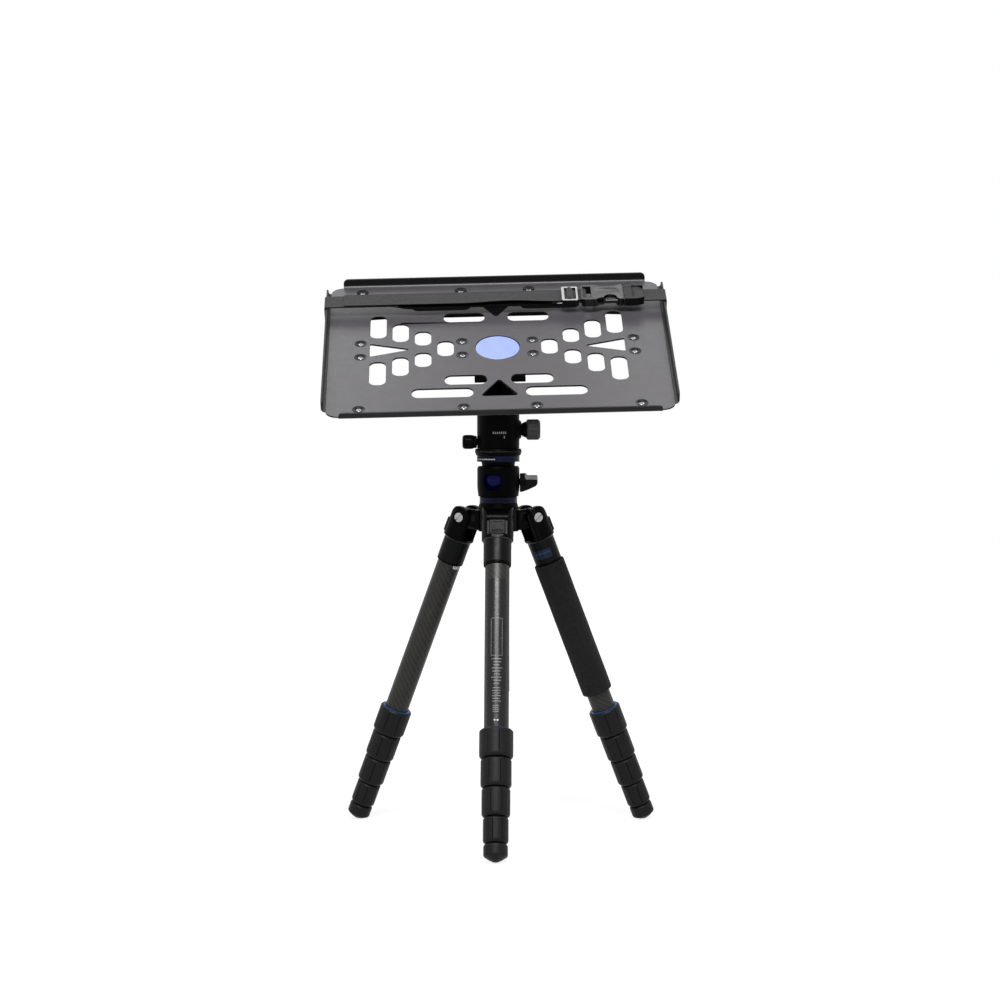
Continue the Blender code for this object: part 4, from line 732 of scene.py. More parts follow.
def make_legs():
    yoke, sleeve, seal, latch, cap = yoke_mesh(), sleeve_mesh(), seal_mesh(), latch_mesh(), bolt_cap_mesh()
    rim = eased([(15, -26.3), (17.25, -26.3), (17.25, -27.3), (16.4, -28.1), (15, -28.1)],
                0.35, 3, True)
    rim = lathe(rim, 96, True)
    tubes = [tube_mesh(i) for i in range(5)]
    locks = [lock_mesh(i) for i in range(4)]
    foot = foot_mesh()
    for side, matrix in LEGS.items():
        node = f"{side}_leg_yoke"
        piece(f"{side}_yoke_casting", yoke.copy(), CAST, node, matrix, True, 0.8)
        piece(f"{side}_sleeve", sleeve.copy(), SLEEVE, node, matrix)
        # The rim ring carries the painted highlight colour.
        piece(f"{side}_yoke_rim", rim.copy(), RIM_HIGHLIGHT, node, matrix)
        piece(f"{side}_sleeve_seal", seal.copy(), KNOB_BLACK, node, matrix)
        node = f"{side}_latch"
        piece(f"{side}_latch_tab", latch.copy(), CAST, node, matrix, True, 0.3, 2)
        for sign, lay in ((1, LAID_X), (-1, LAID_MINUS_X)):
            end = "right" if sign > 0 else "left"
            turn = spin(0.7 + 0.4 * sign)
            piece(f"{side}_bolt_{end}", cap.copy(), STEEL, "spider", matrix @ lay @ turn)
        for index in range(5):
            node = f"{side}_upper_tube" if index == 0 else f"{side}_section_{index + 1}"
            piece(f"{side}_tube_{index + 1}", tubes[index].copy(), CARBON, node, matrix, True)
        for index in range(4):
            node = f"{side}_lock_{index + 1}"
            twist = spin((7 * index + 11) * DEG)
            piece(
                f"{side}_lock_{index + 1}_grip", locks[index].copy(), LOCK_RUBBER, node, matrix @ twist, True
            )
        node = f"{side}_foot"
        piece(f"{side}_foot_rubber", foot.copy(), LOCK_RUBBER, node, matrix, True)
        top = -LOCK_TOPS[0]
        profile = eased([(14.4, top + 0.5), (16.9, top + 0.4), (17.1, top - 0.3), (14.4, top - 0.3)],
                     0.2, 2, True)
        piece(f"{side}_lock_ring", lathe(profile, 96, True), SKY, f"{side}_lock_1", matrix)
    make_front_label(LEGS["front"])
    right = LEGS["right"]
    grip = piece("foam_sleeve", grip_mesh(), FOAM, "foam_grip", right, True)
    node = "right_leg_yoke"
    facing = 150 * DEG
    piece("right_sleeve_patch", patch(16, -38.5, -49.5, 38 * DEG, facing - 8 * DEG), PATCH_BLUE, node, right)
    piece(
        "right_sleeve_line", patch(16.12, -42.2, -43.3, 34 * DEG, facing - 8 * DEG, 0.03, 0.3), SKY, node,
        right
    )
    mark = patch(TUBE_RADII[0], -57.4, -62.2, 24 * DEG, 78 * DEG, 0.1, 2.2)
    piece("left_tube_mark", mark, INK, "left_upper_tube", LEGS["left"])


# Spider, column and levelling base

def make_spider():
    low = PIVOT_HEIGHT - 15.7
    top = SPIDER_TOP
    inner, outer = 12.9, 23.5
    points = [(outer, top), (outer, low), (14.8, low), (14.8, low - 14), (inner, low - 14), (inner, top)]
    hub = hoop(points, 0.7, 3)
    end = arc((PIVOT_RADIUS, 0), 10.7, -math.pi / 2, math.pi / 2, 24)
    outline = end + [(18.2, 8.7), (18.2, -14.7), (27.5, -14.7)]
    changes = []
    for azimuth in LEG_AZIMUTHS.values():
        place = translation(0, 0, PIVOT_HEIGHT) @ spin(azimuth)
        arm = slab([outline], 23, DRAWN_IN_XZ)
        cuts = []
        for sign in (-1, 1):
            inside, outside = sorted((sign * 10.1, sign * 12.5))
            cuts.append(block((25.5, inside, -4.8), (34.3, outside, 4.0)))
        trough = block((26, -7.4, 7.4), (40, 7.4, 11))
        arm = carved(arm, trough, *cuts)
        changes.append(("UNION", moved(arm, place)))
    piece("spider_casting", carved(hub, *changes), CAST, "spider", COLUMN, True, 0.6)


def knurl(radius_low, count, depth):
    def shape(radius, height, angle):
        if radius < radius_low:
            return radius
        return radius - depth * (0.5 + 0.5 * math.cos(angle * count))
    return shape


def make_column():
    top = CONE_FOOT + 4
    bottom = top - 212
    inner, outer = 11.0, 12.5
    tube = lathe(
        eased([(inner, top), (outer, top), (outer, bottom), (inner, bottom)], 0.3, 2, True), 72, True
    )
    piece("column_tube", tube, CARBON, "column", COLUMN, True)
    high = bottom - 0.3
    points = [(0, high + 9), (10.2, high + 9), (10.2, high), (12.5, high)]
    points += [(12.5, high - 5.4), (11.2, high - 7), (4, high - 7), (3.2, high - 5), (0, high - 5)]
    piece("column_end", turned(points, 0.6, 4, 72), SATIN, "column_cap", COLUMN, True)
    collar_top = PIVOT_HEIGHT - 16.0
    collar_end = collar_top - 22
    points = [(15.1, collar_top), (17.9, collar_top), (17.9, collar_top - 6), (14.9, collar_top - 14.3)]
    points += [(14.9, collar_end), (12.9, collar_end)]
    points += [(12.9, collar_top - 14), (15.1, collar_top - 14)]
    profile = eased(points, 1.0, 3, True)
    collar = lathe(profile, 160, True, knurl(17.0, 20, 0.7))
    piece("column_collar_grip", collar, LOCK_RUBBER, "column_collar", COLUMN, True)
    foot = CONE_FOOT
    points = [(0, foot + 13.5), (4.7, foot + 13.5), (4.7, foot + 7.1), (22.1, foot + 7.1)]
    points += [(23.7, foot + 2), (23.7, foot), (12.9, foot), (12.9, foot + 4.3), (0, foot + 4.3)]
    piece("column_cone", turned(points, 0.5, 4), SATIN, "column_top", COLUMN, True)


def make_level():
    low, high = RING_FOOT, RING_FOOT + 7.4
    points = [(5, high), (21.4, high), (22.1, high - 0.8), (22.1, high - 3), (21.7, high - 3.3)]
    points += [(21.7, high - 4.3), (22.1, high - 4.6), (22.1, low), (5, low)]
    piece("level_ring_turned", hoop(points, 0.25, 2), BLUE, "level_ring", COLUMN, True)
    outer, foot, inner = 24.7, 23.5, 21.7
    base = BARREL_FOOT
    top = base + 35.4
    points = [
        (0, base + 5.5), (inner, base + 5.5), (inner, top - 1.2), (inner + 1.2, top), (outer - 1.4, top)
    ]
    points += [(outer, top - 2.4), (outer, base + 10.6), (foot, base), (0, base)]
    barrel = turned(points, 0.9, 4, 128)
    half = 10.7
    window = [(half, 22), (half - 2.5, 26.3), (-half + 2.5, 26.3), (-half, 22)] + arc(
        (0, 18.0), half, math.pi, TURN, 24
    )
    cutter = slab([window], 24, translation(0, -24, 0) @ DRAWN_IN_XZ)
    cutter.transform(translation(0, 0, base) @ spin(-17 * DEG))
    piece("level_barrel_shell", carved(barrel, cutter), SATIN, "level_barrel", COLUMN, True, 0.5, 2)
    make_lever(base + 17)
    radius, neck, disc = 21.0, 19.0, 24.9
    platform = PLATFORM_FOOT - LEVEL_CENTRE
    points = [
        (0, platform + 6.9), (disc, platform + 6.9), (disc, platform + 3.1), (disc - 0.3, platform + 2.9)
    ]
    points += [(disc - 0.3, platform + 2.3), (disc, platform + 2.1), (disc, platform), (19.9, platform)]
    points = eased(points, 0.35, 3) + [(0, platform)]
    matrix = COLUMN @ translation(0, 0, LEVEL_CENTRE)
    node = "level_ball"
    piece("level_platform", lathe(points, 128), BLUE, node, matrix, True)
    waist = radius * math.sin(math.acos(neck / radius))
    points = [(0, platform), (19.9, platform), (neck, platform - 5), (neck, waist), (0, waist)]
    piece("level_neck", lathe(points, 96), SATIN, node, matrix)
    points = [(0, waist)] + arc((0, 0), radius, math.acos(neck / radius), -math.asin(12 / 21), 24) + [
        (0, -12)
    ]
    piece("level_ball_turned", lathe(points, 128), BALL_BLUE, node, matrix)
    low = platform + 0.5
    skin = disc - 0.1
    shell = [(skin, low + 5.6), (disc, low + 5.6), (disc, low), (skin, low)]
    band = lathe(shell, 64, True, None, -200 * DEG, -97 * DEG)
    piece("level_scale_band", band, SATIN, node, matrix)
    ticks = []
    for index in range(17):
        angle = (-196 + 6 * index) * DEG
        tall = 1.6 if index % 4 else 2.6
        tick = block((skin, -0.16, 0), (disc + 0.05, 0.16, tall))
        ticks.append(moved(tick, spin(angle) @ translation(0, 0, low + 1.2)))
    ticks.append(lathe([(skin, low + 2.9), (disc + 0.05, low + 2.9), (disc + 0.05, low + 2.3),
        (skin, low + 2.3)], 48, True, None, -160 * DEG, -97 * DEG))
    piece("level_scale", joined(ticks), INK, node, matrix)


LEVER_OUTLINE = [
    (0.0, -12.1), (2.5, -12.0), (9.6, -9.7), (19.6, -4.9), (21.0, -2.0), (21.0, 6.6),
    (20.0, 7.6), (8.5, 7.6), (7.3, 10.0), (1.0, 10.0), (0.0, 9.0),
]


def make_lever(height):
    """The wing lever: a turned hub and a thick wing whose upper front edge slopes back."""
    start = 25.0
    node = "level_lever"
    points = [
        (0, start + 7), (4.6, start + 7), (6.4, start + 5), (6.4, start), (3.5, start), (3.5, 22), (0, 22)
    ]
    hub = turned(points, 0.8, 4, 64)
    matrix = COLUMN @ translation(0, 0, height)
    piece("level_lever_hub", hub, KNOB_BLACK, node, matrix @ LAID_X)
    outline = eased([(start + x, z) for x, z in LEVER_OUTLINE], 2.5, 5, True)
    slope = 2.0
    layers = [
        (-3.5, 0.9, 1.0), (-3.1, 0.3, 0.92), (0.6, 0.0, 0.12), (2.0, 0.0, 0.0), (3.1, 0.3, 0.0),
        (3.5, 0.9, 0.0)
    ]
    middle = Vector((start + 10, -1))
    verts, faces = [], []
    count = len(outline)
    for depth, inset, drop in layers:
        for x, z in outline:
            away = middle - Vector((x, z))
            spot = Vector((x, z)) + away.normalized() * inset
            high = max(0.0, spot.y - slope)
            verts.append((spot.x, depth, spot.y - high * drop * 0.98))
    for layer in range(len(layers) - 1):
        for i in range(count):
            j = (i + 1) % count
            a, b = layer * count, (layer + 1) * count
            faces.append((a + i, a + j, b + j, b + i))
    faces.append(tuple(range(count))[::-1])
    faces.append(tuple((len(layers) - 1) * count + i for i in range(count)))
    wing = mesh_of(verts, faces)
    # Faces on the wing's upper front slope take the light lever look: a painted highlight from the lamp
    # above.
    for face in wing.polygons:
        x, y, z = face.center / MM
        face.material_index = int(-3 < y < 0.5 and z > 2.2 and x > start + 4)
    piece("level_lever_wing", wing, LEVER_BLACK, node, matrix, True, 0.4, 3, (LEVER_TOP_HIGHLIGHT,))


# Ball head and clamp

def lobed(low_radius, count, depth):
    def shape(radius, height, angle):
        if radius < low_radius:
            return radius
        wave = (0.5 + 0.5 * math.cos(angle * count)) ** 3
        return radius - depth * wave
    return shape


def make_head():
    high = PAN_FOOT + 8
    base = 27.3
    points = [(0, high + 7), (8, high + 7), (8, high), (base - 1, high), (base, high - 2.5)]
    points += [
        (base, high - 4.6), (base - 0.6, high - 4.9), (base - 0.6, high - 5.5), (base - 1.5, PAN_FOOT),
        (0, PAN_FOOT)
    ]
    node = "pan_base"
    piece("pan_base_turned", turned(points, 0.4, 3, 128), SATIN, node, COLUMN, True)
    ticks = []
    for index in range(72):
        tall = 1.7 if index % 3 == 0 else 1.0
        tick = block((base - 0.1, -0.11, 0), (base + 0.0, 0.11, tall))
        tick.transform(spin(index * 5 * DEG) @ translation(0.03, 0, high - 4.0))
        ticks.append(tick)
    piece("pan_scale", joined(ticks), DIM_INK, node, COLUMN)
    outer = 24.7
    pocket = 18.75
    points = [(0, 46.3), (11, 46.3), (pocket, 57.7), (pocket, 70.8), (outer - 3, 70.8), (outer, 60.8)]
    points += [(outer, 3.2), (outer - 0.35, 3.0), (outer - 0.35, 2.4), (outer, 2.2), (outer, 0), (0, 0)]
    node = "head_housing"
    piece("head_shell", turned(points, 0.6, 3, 128), SATIN, node, PAN, True)
    boss = [(0, outer + 2.3), (9.5, outer + 2.3), (16, outer - 6), (0, outer - 6)]
    piece("head_boss", turned(boss, 0.9, 4, 72), SATIN, node, PAN @ translation(0, 0, 21.9) @ LAID_X)
    marks = []
    for index in range(7):
        angle = (-103.5 + 5.6 * index) * DEG
        mark = block((outer - 0.1, -0.6, -1.25), (outer + 0.03, 0.6, 1.25))
        marks.append(moved(mark, spin(angle - 1.5 * DEG) @ translation(0, 0, 18.3)))
    lower = block((outer - 0.1, -0.5, -1.8), (outer + 0.03, 0.5, 0.8))
    marks.append(moved(lower, spin(-75 * DEG) @ translation(0, 0, 13.9)))
    piece("head_index_marks", joined(marks), DIM_INK, node, PAN)
    make_knobs(outer)
    ball = arc((0, 0), 18, math.pi / 2, -math.pi / 2, 48)
    piece("ball_turned", lathe(ball, 96), DARK_STEEL, "ball", PITCH, True)


def make_knobs(outer):
    start = outer + 2.6
    body = start + 1.2
    end = body + 20.4
    grip, neck = 12.3, 8.0
    matrix = PAN @ translation(0, 0, 21.9) @ LAID_X
    knob = "lock_knob"
    core = [
        (0, body + 6), (10.4, body + 6), (neck, body), (neck - 1, start), (3.5, start), (3.5, outer - 8),
        (0, outer - 8)
    ]
    piece("lock_knob_neck", turned(core, 0.6, 4), SATIN, knob, matrix)
    points = [
        (0, end - 0.8), (8.0, end - 0.8), (8.6, end), (grip - 2.2, end), (grip, end - 2.4), (grip, body + 6)
    ]
    points += [(grip - 1.4, body + 4.6), (0, body + 4.6)]
    rim = lathe(eased(points, 0.7), 160, False, lobed(10, 10, 0.8))
    piece("lock_knob_rim", rim, KNOB_RUBBER, knob, matrix, True)
    start = outer + 0.3
    end = start + 17
    grip, neck = 8.5, 7.2
    points = [
        (0, end), (5.5, end), (7.5, end - 1), (grip, end - 3), (grip, start + 6), (neck, start + 3),
        (neck, start), (3.5, start), (3.5, outer - 8), (0, outer - 8)
    ]
    knob = lathe(eased(points, 1.4), 120, False, lobed(8.0, 8, 0.6))
    piece("pan_knob_grip", knob, KNOB_BLACK, "pan_knob", PAN @ translation(0, 0, 7.6) @ LAID_MINUS_X, True)


def make_clamp():
    node = "clamp_body"
    floor, top, rise = 46.4, 53.4, 5.4
    foot = 19.0 + 0.72
    lip = foot - rise
    jaw = lip + 8.2
    outline = [(-27.5, 30), (31.5, 30), (31.5, 36), (jaw, 46), (jaw, top), (lip, top)]
    outline += [(lip, floor + rise), (foot, floor), (-18.2, floor), (-18.2, 38.3), (-27.5, 38.3)]
    piece("clamp_block", slab([outline], 56, DRAWN_IN_XZ), SATIN, node, ROLL, True, 0.7)
    points = [(0, 31), (11.5, 31), (11.5, 28), (7.5, 25), (7.5, 18.6), (0, 18.6)]
    piece("clamp_stem", turned(points, 1.2, 4, 72), DARK_STEEL, node, ROLL)
    outline = [(-27.5, 38.6), (-18.5, 38.6), (-18.5, floor - 0.3), (-foot - 0.3, floor)]
    outline += [(-lip, floor + rise), (-lip, top), (-jaw, top), (-27.5, top - 5)]
    piece("clamp_sliding_jaw", slab([outline], 56, DRAWN_IN_XZ), SATIN, "clamp_jaw", ROLL, True, 0.5)
    start = 27.8
    end = start + 12
    points = [
        (0, end), (6.5, end), (7.5, end - 0.4), (8, end), (9, end - 1), (9, start + 3), (6, start),
        (2.5, start), (2.5, 8), (0, 8)
    ]
    knob = lathe(eased(points, 0.4, 3), 160, False, knurl(8.6, 40, 0.35))
    piece(
        "clamp_knob_grip", knob, KNOB_BLACK, "clamp_knob", ROLL @ translation(0, 0, 43) @ LAID_MINUS_X, True
    )


def make_plate():
    node = "mount_plate"
    under = TRAY_HEIGHT - 2.3
    low = under - 4
    flange = slab([rounded_box((0, 0), 96, 44, 6)], 4)
    flange.transform(translation(0, 0, low + 2))
    piece("plate_flange", flange, SATIN, node, ROLL, True, 0.6)
    wide, narrow, foot = 19, 13.6, 46.7
    outline = [
        (-wide, foot), (wide, foot), (narrow, foot + 5.4), (narrow, low + 1), (-narrow, low + 1),
        (-narrow, foot + 5.4)
    ]
    piece("plate_dovetail", slab([outline], 50, DRAWN_IN_XZ), SATIN, node, ROLL, False, 0.4)
    top = TRAY_HEIGHT - 0.4
    edge = 25.6
    points = [
        (0, top - 0.3), (20.6, top - 0.3), (21.0, top), (edge - 0.7, top), (edge, top - 0.7),
        (edge, under - 1), (0, under - 1)
    ]
    piece("plate_disc", turned(points, 0.25, 3, 128), DISC, node, ROLL)


# Tray

UPRIGHT_SLOTS = [(138.0, 50.5, 49.0), (112.0, 36.7, 39.5), (86.0, 23.3, 30.5), (60.0, 0.0, 32.5)]
LEVEL_SLOTS = [(37.6, 68.0, 48.0, 19.5), (64.3, 94.4, 69.5, 19.0)]
SCREWS = [(x, y) for x in (-158, -40.7, 40.7, 158) for y in (-14.8, 14.8, -124.5, 130.5)]
DIMPLE = 7.3


def floor_outline():
    points = []
    corners = ((1, 1, 362), (-1, 1, 362), (-1, -1, 360), (1, -1, 360))
    for index, (sx, sy, lip) in enumerate(corners):
        edge = 142 if sy > 0 else 138
        flange = 130 if sy > 0 else 126
        reach = (195 - lip / 2, edge - flange)
        centre = (sx * (195 - reach[0]), sy * (edge - reach[1]))
        for x, y in arc((0, 0), 1.0, index * math.pi / 2, (index + 1) * math.pi / 2, 14):
            points.append((centre[0] + x * reach[0], centre[1] + y * reach[1]))
    return points


def tray_holes():
    holes = [arc((0, 0), 26, 0, TURN * 95 / 96, 95)]
    for x, y, height in UPRIGHT_SLOTS:
        for sx in (-1, 1):
            for sy in (-1, 1) if y else (1,):
                holes.append(rounded_box((sx * x, sy * y), 19, height, 8))
    for x, y, length, width in LEVEL_SLOTS:
        for sx in (-1, 1):
            for sy in (-1, 1):
                holes.append(rounded_box((sx * x, sy * y), length, width, 8))
    wedge = [(99, 0), (147.5, -14), (147.5, 14)]
    notch = [(0, 67), (22.5, 103), (-22.5, 103)]
    for shape, radius in ((wedge, 1.5), (notch, 3)):
        holes.append(rounded_triangle(shape, radius))
        holes.append(rounded_triangle([(-x, -y) for x, y in shape], radius))
    for centre in SCREWS:
        holes.append(arc(centre, DIMPLE, 0, TURN * 31 / 32, 31))
    return holes


def fold_up(shell, start, end, outward, height, chamfer, tip, reach=0.0):
    """Bends the edge between two floor corners up, with rounded upper corners."""
    wanted = [Vector((*spot, 0)) * MM for spot in (start, end)]
    edge = next(
        e for e in shell.edges
        if min((e.verts[0].co - w).length for w in wanted) < 2e-5
        and min((e.verts[1].co - w).length for w in wanted) < 2e-5
    )
    outward = Vector((*outward, 0))
    rise = Vector((0, 0, 1))
    along = (wanted[1] - wanted[0]).normalized()
    bend = 3.0
    levels = [(bend * math.sin(a), bend * (1 - math.cos(a)),
        0.0) for a in [math.pi / 2 * i / 8 for i in range(1, 9)]]
    reach = reach or chamfer
    levels += [(bend, height - reach + reach * math.sin(a),
        1 - math.cos(a)) for a in [math.pi / 2 * i / 8 for i in range(9)]]
    for out, up, inset in levels:
        made = bmesh.ops.extrude_edge_only(shell, edges=[edge])["geom"]
        edge = next(g for g in made if isinstance(g, bmesh.types.BMEdge))
        verts = sorted(edge.verts, key=lambda v: (v.co - wanted[0]).length)
        trims = (chamfer * inset, tip * up / height if tip else chamfer * inset)
        for vert, base, trim, sign in zip(verts, wanted, trims, (1, -1)):
            vert.co = base + (along * trim * sign + outward * out + rise * up) * MM


def make_tray():
    mesh = filled([floor_outline()] + tray_holes())
    shell = bmesh.new()
    shell.from_mesh(mesh)
    bmesh.ops.remove_doubles(shell, verts=shell.verts, dist=1e-5)
    side = 195
    fold_up(shell, (side, -126), (side, 130), (1, 0), 13, 4, 12)
    fold_up(shell, (-side, -126), (-side, 130), (-1, 0), 13, 4, 12)
    fold_up(shell, (-180, -138), (180, -138), (0, -1), 7, 4, 0)
    fold_up(shell, (181, 142), (-181, 142), (0, 1), 10, 5.5, 0, 6.5)
    bmesh.ops.recalc_face_normals(shell, faces=shell.faces)
    top = max(shell.faces, key=lambda f: abs(f.normal.z) * f.calc_area())
    if top.normal.z < 0:
        bmesh.ops.reverse_faces(shell, faces=shell.faces)
    for face in shell.faces:
        face.smooth = True
    shell.to_mesh(mesh)
    shell.free()
    made = thickened(mesh, 2, -1)
    for face in made.polygons:
        x, y, z = face.center / MM
        heights = [made.vertices[index].co.z / MM for index in face.vertices]
        # Inner walls of the holes take the near-black look, as painted shade.
        shaded_wall = max(heights) - min(heights) > 1 and abs(face.normal.z) < 0.2
        shaded_wall = shaded_wall and abs(x) < 194 and -137 < y < 141
        # Faces of the folded flanges and lips take the darker tray paint, as painted shade.
        shaded_flank = z > 1.2 or abs(x) > 191.5 and abs(face.normal.x) > 0.06
        face.material_index = 1 if shaded_wall else 2 if shaded_flank else 0
    piece("tray_sheet", made, TRAY_PAINT, "tray", TRAY, True, 0.3, 2, (TRAY_WALL_SHADE, TRAY_SIDE_SHADE))
    make_screws()


def make_screws():
    """Sixteen pressed dimples, each with a countersunk socket screw."""
    edge = DIMPLE
    points = [(edge, 0), (edge - 0.9, -0.15), (3.9, -1.35), (3.4, -1.5), (0, -1.5)]
    points = eased(points, 0.5, 3) + [
        (0, -2.4), (3.9, -2.3), (edge + 0.3, -1.95), (edge + 0.3, -0.3), (edge, -0.05)
    ]
    dimple = lathe(points, 48)
    head = [(0, -0.5), (1.9, -0.55), (2.9, -0.95), (3.1, -1.5), (0, -1.6)]
    head = turned(head, 0.4, 3, 48)
    socket = lathe([(0, 1), (1.25, 1), (1.25, -1.2), (0, -1.2)], 6)
    head = carved(head, socket)
    random.seed(7)
    cups, heads = [], []
    for x, y in SCREWS:
        place = translation(x, y, 0) @ Matrix.Rotation(random.uniform(0, TURN), 4, "Z")
        cups.append(copied(dimple, place))
        heads.append(copied(head, place))
    # The dimples carry the painted shade colour.
    piece("tray_dimples", joined(cups), DIMPLE_SHADE, "tray", TRAY)
    piece("tray_screws", joined(heads), SCREW_STEEL, "tray", TRAY)


# Strap and buckle

STRAP_Y = 86.5
STRAP_THICK = 1.4
LOWER = 13.0 + 0.3 + STRAP_THICK / 2
UPPER = LOWER + STRAP_THICK + 0.3
BUCKLE = TRAY @ translation(0, STRAP_Y, LOWER + STRAP_THICK / 2 + 0.15)


def bumped(x, start, end):
    """A smooth hump from 0 to 1 and back between two places."""
    if not start < x < end:
        return 0.0
    return math.sin((x - start) / (end - start) * math.pi) ** 2


def held(x, start, end, run):
    """As bumped, with a level stretch between its two smooth ends."""
    share = max(0.0, min(1.0, (x - start) / run, (end - x) / run))
    return share * share * (3 - 2 * share)


def resampled(path, step):
    made = [Vector(path[0])]
    for a, b in zip(path, path[1:]):
        a, b = Vector(a), Vector(b)
        count = max(1, int((b - a).length / step))
        made += [a.lerp(b, i / count) for i in range(1, count + 1)]
    return made


def make_strap():
    """One length of webbing: its tail, the slider's fold, round the tray, and the buckle's fold."""
    side = 195 + 3 + 2 + 0.3 + STRAP_THICK / 2
    under = -2 - 2 - STRAP_THICK / 2
    bar = 1.2 * math.sqrt(2) + 0.3 + STRAP_THICK / 2
    middle = (LOWER + UPPER) / 2
    corner = STRAP_THICK
    fold, far = 104, 166
    first = [(-178.6, UPPER), (97, UPPER), (fold - 1, middle + bar)]
    first += arc((fold, middle), bar, math.pi / 2, -math.pi / 2, 12)[1:] + [(97, LOWER)]
    count_first = len(resampled(first[:2], 3))
    path = first + arc((-side + corner, LOWER - corner), corner, math.pi / 2, math.pi, 6)
    path += arc((-side + corner, under + corner), corner, math.pi, 1.5 * math.pi, 6)
    path += arc((side - corner, under + corner), corner, 1.5 * math.pi, TURN, 6)
    path += arc((side - corner, LOWER - corner), corner, 0, math.pi / 2, 6)
    path += [(far + 8, LOWER)] + arc((far, middle), bar, -math.pi / 2, -1.5 * math.pi, 12)
    stations = resampled(path, 3)
    columns = 8
    verts, faces = [], []
    for index, spot in enumerate(stations):
        x, z = spot
        tail = index < count_first
        lower_run = not tail and z > 0.9 * LOWER and -190 < x < 95 and index < len(stations) / 2
        beneath = z < under + 1
        for column in range(columns + 1):
            v = column / columns
            y = STRAP_Y - 12.5 + 25 * v
            lift = 0.0
            front = (1 - v) ** 2
            if tail:
                lift += 1.3 * bumped(x, -42, 74) * (0.35 + 0.65 * front)
                y += 1.6 * bumped(x, -40, 70) * front
            if lower_run:
                lift -= 3.4 * held(x, -125, 77, 22) * front + 0.8 * bumped(x, -118, -34) * front
                y -= 1.6 * bumped(x, -120, -36) * front
            if beneath:
                y += 3.5 * held(x, -175, 175, 60)
            verts.append((x, y, z + lift))
    width = columns + 1
    for i in range(len(stations) - 1):
        for j in range(columns):
            faces.append((i * width + j, (i + 1) * width + j, (i + 1) * width + j + 1, i * width + j + 1))
    made = thickened(sheet_of(verts, faces), STRAP_THICK, 0)
    # The underside, the drooping front of the lower run and the side edges take the near-black webbing, as
    # painted shade.
    for face in made.polygons:
        x, y, z = face.center / MM
        drooping_in_shade = -126 < x < 77 and y < STRAP_Y - 7 and z < LOWER - 0.6
        face.material_index = 1 if z < -2.5 or drooping_in_shade or abs(face.normal.y) > 0.6 else 0
    piece("strap_webbing", made, WEBBING, "strap", TRAY, True, 0.3, 2, (WEBBING_SHADE,))


def make_slider():
    floor = LOWER - STRAP_THICK / 2 - 0.3
    roof = LOWER + 1.5 * STRAP_THICK + 0.6
    edge = 12.8
    left, right = 78, 97
    y = STRAP_Y
    low, high = floor - 2, roof + 2
    outline = eased(
        [(left, y - edge - 3), (right, y - edge - 3), (right, y + edge + 3), (left, y + edge + 3)], 2.5, 6,
        True
    )
    body = slab([outline], high - low)
    body.transform(translation(0, 0, (low + high) / 2))
    window = block((left + 3.2, y - edge, floor - 4), (right - 2.2, y + edge, high + 1))
    tunnel = block((left - 1, y - edge, floor - 4), (right + 1, y + edge, roof))
    middle = (left + right) / 2
    bar = block((middle - 2, y - edge - 1, low + 0.2), (middle + 2, y + edge + 1, floor))
    made = carved(body, window, tunnel, ("UNION", bar))
    # The slider's upward faces take the light grey as a painted highlight; the rest is the black nylon.
    for face in made.polygons:
        x, _, z = face.center / MM
        face.material_index = 0 if face.normal.z > 0.5 and z > roof and x < right - 3 else 1
    piece("slider_frame", made, SLIDER_HIGHLIGHT, "strap_slider", TRAY, True, 0.7, 4, (NYLON,))
    half = 4.2
    arch = [(middle + x * half, roof - 0.9 + 4.4 * math.sqrt(max(0.0,
        1 - x * x))) for x in [-1 + i / 8 for i in range(17)]]
    roll = slab([arch], 24.6, translation(0, y + 0.2, 0) @ DRAWN_IN_XZ)
    piece("slider_roll", roll, WEBBING, "strap", TRAY, False, 0.3, 2)


def mirrored(outline):
    return outline + [(x, -v) for x, v in reversed(outline)]


def scooped(z, x, y, radius_x, radius_y, radius_z):
    """A cutter: a flattened ball."""
    ball = arc((0, 0), 1.0, math.pi / 2, -math.pi / 2, 14)
    mesh = lathe(ball, 32)
    mesh.transform(Matrix.Diagonal((radius_x, radius_y, radius_z, 1)))
    return moved(mesh, translation(x, y, z))


def make_female():
    half, thick = 16.5, 10
    left, right = 101, 150
    shell_left = left + 13
    scoop = 4
    outline = [(left, -half + 3), (left + 3, -half), (shell_left + 4, -half), (shell_left + 9, -half + scoop)]
    outline += [(right - 9, -half + scoop), (right - 4, -half), (right, -half)]
    outline = eased(mirrored(outline), 3, 5, True)
    body = slab([outline], thick)
    edge, bar, fold = 12.8, 1.2, 104
    middle = (shell_left + right) / 2
    changes = [
        block((shell_left + 2, -14.5, -3), (right + 1, 14.5, 3)),
        block((fold + bar, -edge, -thick), (fold + bar + 7.4, edge, thick)),
        block((left - 1, -edge, -thick), (fold - bar, edge, thick)),
        block((fold - bar - 1, -edge, bar), (fold + bar + 1, edge, thick)),
        block((fold - bar - 1, -edge, -thick), (fold + bar + 1, edge, -bar)),
        scooped(6.6, middle, 4, 22, 9, 2.4),
        scooped(0.6, middle + 3, -half + scoop, 9, 7.5, 9),
    ]
    end = block((left, -half + 1, 3.7), (left + 1.7, half - 1, thick / 2))
    body = carved(body, *changes, ("UNION", end))
    # Upward faces take the lighter nylon and the rest the black nylon: painted light and shade.
    for face in body.polygons:
        face.material_index = int(face.normal.z <= 0.5)
    piece("buckle_socket", body, BUCKLE_TOP_LIT, "buckle_female", BUCKLE, True, 0.8, 4, (NYLON,))


